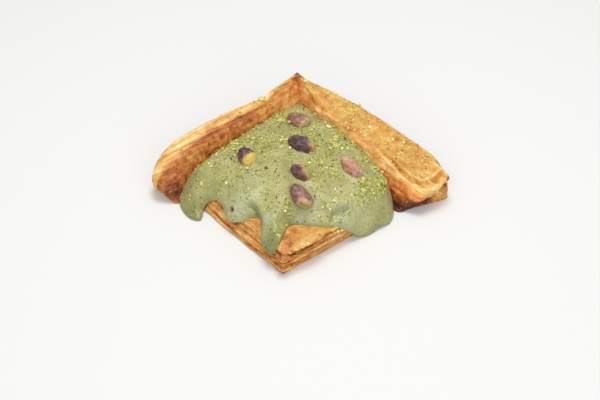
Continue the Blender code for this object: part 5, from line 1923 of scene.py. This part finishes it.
# %% Broken lumps of nut
EIGHT_FACED = [(1, 0, 0), (-1, 0, 0), (0, 1, 0), (0, -1, 0), (0, 0, 1), (0, 0, -1)]
SQUEEZE, PULL = (0.55, 1.15), (0.72, 1.2)
LONG_AND_FLAT = (1.15, 1.0, 0.75)
SEAT = 0.7


def lump(draw, fine):
    """Corners and faces of one small broken lump, about 1 across."""
    if fine:
        points = 0.5 * np.array(EIGHT_FACED, float)
        faces = [(a, b, c) if (a + b + c) % 2 else (a, c, b) for a in (0, 1) for b in (2, 3) for c in (4, 5)]
    else:
        shell = bmesh.new()
        bmesh.ops.create_icosphere(shell, subdivisions=1, radius=0.5)
        points = np.array([vertex.co[:] for vertex in shell.verts])
        faces = [[vertex.index for vertex in face.verts] for face in shell.faces]
        shell.free()
    stretch = draw.uniform(*SQUEEZE, 3) * LONG_AND_FLAT
    points = points * stretch * draw.uniform(*PULL, (len(points), 1))
    return points, np.array(faces)


def seated(corners, size, hit, normal, spin, sink):
    """A lump's corners in the frame, seated on the food where a ray hit it."""
    upright = normal.to_track_quat("Z", "X").to_matrix()
    turned = np.array(upright @ Matrix.Rotation(spin, 3, "Z"))
    return corners * size @ turned.T + np.array(hit + normal * size * (0.5 - sink) * SEAT)


def one_mesh(name, lumps, paint):
    """One mesh of many lumps: rows of corners, faces and shade."""
    starts = np.cumsum([0] + [len(corners) for corners, _, _ in lumps])
    points = np.concatenate([corners for corners, _, _ in lumps])
    faces = [(sides + start).tolist() for (_, sides, _), start in zip(lumps, starts)]
    shade = np.concatenate([np.full(len(corners), value) for corners, _, value in lumps])
    mesh = bpy.data.meshes.new(name)
    mesh.from_pydata(points.tolist(), [], [face for group in faces for face in group])
    mark = mesh.attributes.new("shade", "FLOAT", "POINT")
    mark.data.foreach_set("value", shade.astype(np.float32))
    mesh.materials.append(paint)
    made = bpy.data.objects.new(name, mesh)
    bpy.context.scene.collection.objects.link(made)
    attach(made, "root")
    return len(lumps)


print("a lump of fine dust has", len(EIGHT_FACED), "corners")

# %% [markdown]
# ## Finishes of the nut
# Crumbs of one nut differ: the meal runs from green to nearly white, and the skin is
# dark. A material for every lump would be thousands. Here each lump carries one random
# shade, and three finishes turn it into a tone, with a little noise within the lump.

# %% Nut finishes
MEAL_TONES = (
    (0.0, tone(166, 170, 70)),
    (0.4, tone(204, 200, 96)),
    (0.8, tone(230, 222, 134)),
    (1.0, tone(246, 240, 200)),
)
GREEN_TONES = ((0.0, tone(138, 142, 54)), (0.5, tone(176, 174, 72)), (1.0, tone(210, 202, 108)))
DARK_TONES = ((0.0, tone(64, 56, 34)), (0.6, tone(96, 86, 48)), (1.0, tone(132, 116, 68)))


def nut_paint(name, stops):
    """A dry, mottled nut finish. Each lump has its own shade of it."""
    paint, shader = new_paint(name, 0.6, 0.0005, 0.15)
    within_lump = sway(paint, grains(paint, 0.5, 2.0), 0.6)
    value = sums(paint, "ADD", mark_of(paint, "shade"), within_lump, True)
    paint.node_tree.links.new(ramp_of(paint, value, stops), shader.inputs["Base Color"])
    return paint


meal_paint = nut_paint("yellow green nut meal", MEAL_TONES)
green_paint = nut_paint("green nut bits", GREEN_TONES)
dark_paint = nut_paint("dark nut skin flecks", DARK_TONES)
print("nut finishes:", [paint.name for paint in (meal_paint, green_paint, dark_paint)])

# %% [markdown]
# ## Strewing
# Dust lies where it falls: it slides off steep faces, hardly stays on the kernels, and
# is thinner on the dough than on the sticky cream. A particle system knows none of this.
# So random spots are drawn, and each keeps its lump only if enough nut was strewn there
# and a ray finds food that is flat enough under it.

# %% Strew the nut
STREWN_AREA = ((-14.0, 106.0), (-12.0, 98.0))
TRIES_FOR_EACH, SHAPES = 14, 24
FLAT_CREAM, FLAT_DOUGH = 0.45, 0.62
ON_KERNELS, PALE_ON_DOUGH = 0.03, 0.45
SUNK_STREWN = 0.2


def strew(name, count, small, large, power, paint, seed, on_dough, even=0.0, fine=False):
    """One mesh of many lumps, strewn over the food."""
    draw = np.random.default_rng(seed)
    shapes = [lump(draw, fine) for _ in range(SHAPES)]
    tries = count * TRIES_FOR_EACH
    spots_p = draw.uniform(*STREWN_AREA[0], tries)
    spots_q = draw.uniform(*STREWN_AREA[1], tries)
    keep = draw.uniform(0.0, 1.0, tries) < np.maximum(strewing(spots_p, spots_q), even)
    spots = lay(np.stack((spots_p, spots_q, np.full(tries, ABOVE_ALL)), -1))[keep]
    lumps = []
    for spot in spots:
        if len(lumps) == count:
            break
        hit, normal, face = drop_on_food(spot)
        if hit is None:
            continue
        is_dough = face < cream_from
        if normal.z < (FLAT_DOUGH if is_dough else FLAT_CREAM):
            continue
        share = on_dough if is_dough else ON_KERNELS if face >= kernels_from else 1.0
        if draw.uniform() > share:
            continue
        size = (small + (large - small) * draw.uniform() ** power) * MM
        corners, sides = shapes[draw.integers(len(shapes))]
        shade = draw.uniform(PALE_ON_DOUGH if is_dough else 0.0, 1.0)
        spin = draw.uniform(0.0, math.tau)
        lumps.append((seated(corners, size, hit, normal, spin, SUNK_STREWN), sides, shade))
    return one_mesh(name, lumps, paint)


# How many lumps, their least and greatest size in millimetres, how rare the large ones
# are, the finish, the seed, and the share that stays on the dough. `even` is the share
# that falls everywhere.
print("fine meal:", strew("nut_meal_fine", 7000, 0.22, 0.75, 1.6, meal_paint, 401, 0.5, even=0.04, fine=True))
print("coarse meal:", strew("nut_meal_coarse", 1250, 0.55, 1.9, 2.4, meal_paint, 402, 0.4))
print("green bits:", strew("nut_bits_green", 800, 0.45, 2.2, 2.6, green_paint, 403, 0.08))
print("dark flecks:", strew("nut_skin_flecks", 1500, 0.28, 1.05, 2.4, dark_paint, 404, 0.3, even=0.25))

# %% [markdown]
# ## The larger bits
# A few bits are so large that one knows them by their place, such as the row along the
# back. Chance wouldn't put them there, so each is set down at its own spot. Placing them
# by hand in the view would leave them floating or sunk, so a ray seats each one too.

# %% Set down the larger bits
# P, Q, size in millimetres and shade, from 0 for the greenest or darkest to 1.
BRIGHT_BITS = (
    (46.0, 66.0, 2.2, 0.0),
    (54.0, 71.0, 2.0, 0.3),
    (58.0, 66.0, 2.5, 0.5),
    (62.5, 45.0, 2.0, 0.4),
    (55.0, 39.0, 1.8, 0.5),
    (49.5, 39.0, 1.7, 0.5),
    (72.5, 52.0, 2.8, 0.9),
    (68.5, 61.5, 1.7, 0.1),
    (86.0, 47.5, 1.9, 0.9),
    (83.0, 33.5, 1.6, 0.9),
    (77.0, 68.0, 2.0, 0.9),
    (86.5, 69.0, 2.0, 0.5),
    (57.0, 89.0, 3.0, 0.6),
    (39.0, 72.0, 2.0, 0.2),
    (30.0, 73.0, 2.1, 0.1),
    (21.0, 76.5, 2.4, 0.4),
    (10.0, 67.0, 1.9, 0.1),
    (1.0, 67.5, 2.3, 0.7),
    (44.0, 4.0, 1.7, 0.3),
    (50.5, -4.0, 2.0, 0.3),
    (57.5, -2.0, 1.6, 0.2),
    (74.0, 8.0, 1.8, 0.2),
    (76.5, 14.0, 1.9, 0.7),
    (70.0, 56.0, 1.9, 0.4),
    (73.0, 60.0, 1.8, 0.1),
    (60.0, 72.0, 2.0, 0.2),
    (50.0, 63.0, 1.8, 0.3),
    (66.0, 36.0, 1.7, 0.5),
    (35.0, 72.0, 1.7, 0.5),
)
DARK_BITS = (
    (73.8, 40.0, 2.0, 0.1),
    (18.0, 64.5, 1.7, 0.5),
    (25.0, 44.5, 1.9, 0.5),
    (88.0, 22.0, 1.2, 0.0),
    (52.0, 52.0, 1.5, 0.2),
)
SUNK_PLACED = 0.15


def set_down(name, rows, paint, seed):
    """One mesh of larger bits, each at its own place: rows of P, Q, size and shade."""
    draw = np.random.default_rng(seed)
    lumps = []
    for p, q, size, shade in rows:
        corners, sides = lump(draw, False)
        hit, normal, _ = drop_on_food(lay((p, q, ABOVE_ALL)))
        spin = draw.uniform(0.0, math.tau)
        lumps.append((seated(corners, size * MM, hit, normal, spin, SUNK_PLACED), sides, shade))
    return one_mesh(name, lumps, paint)


print("larger bright bits:", set_down("nut_bits_large", BRIGHT_BITS, meal_paint, 405))
print("larger dark bits:", set_down("nut_bits_dark", DARK_BITS, dark_paint, 406))

# %% [markdown]
# ## Measure and finish
# A dressed part has to be as large as its solids. Comparing the two by eye hides small
# errors, so the dressed part's box is measured and printed.

# %% Measure and finish
dressed_low, dressed_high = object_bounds()
dressed_size = [round((high - low) / MM, 1) for low, high in zip(dressed_low, dressed_high)]
print("dressed part in millimetres:", dressed_size)
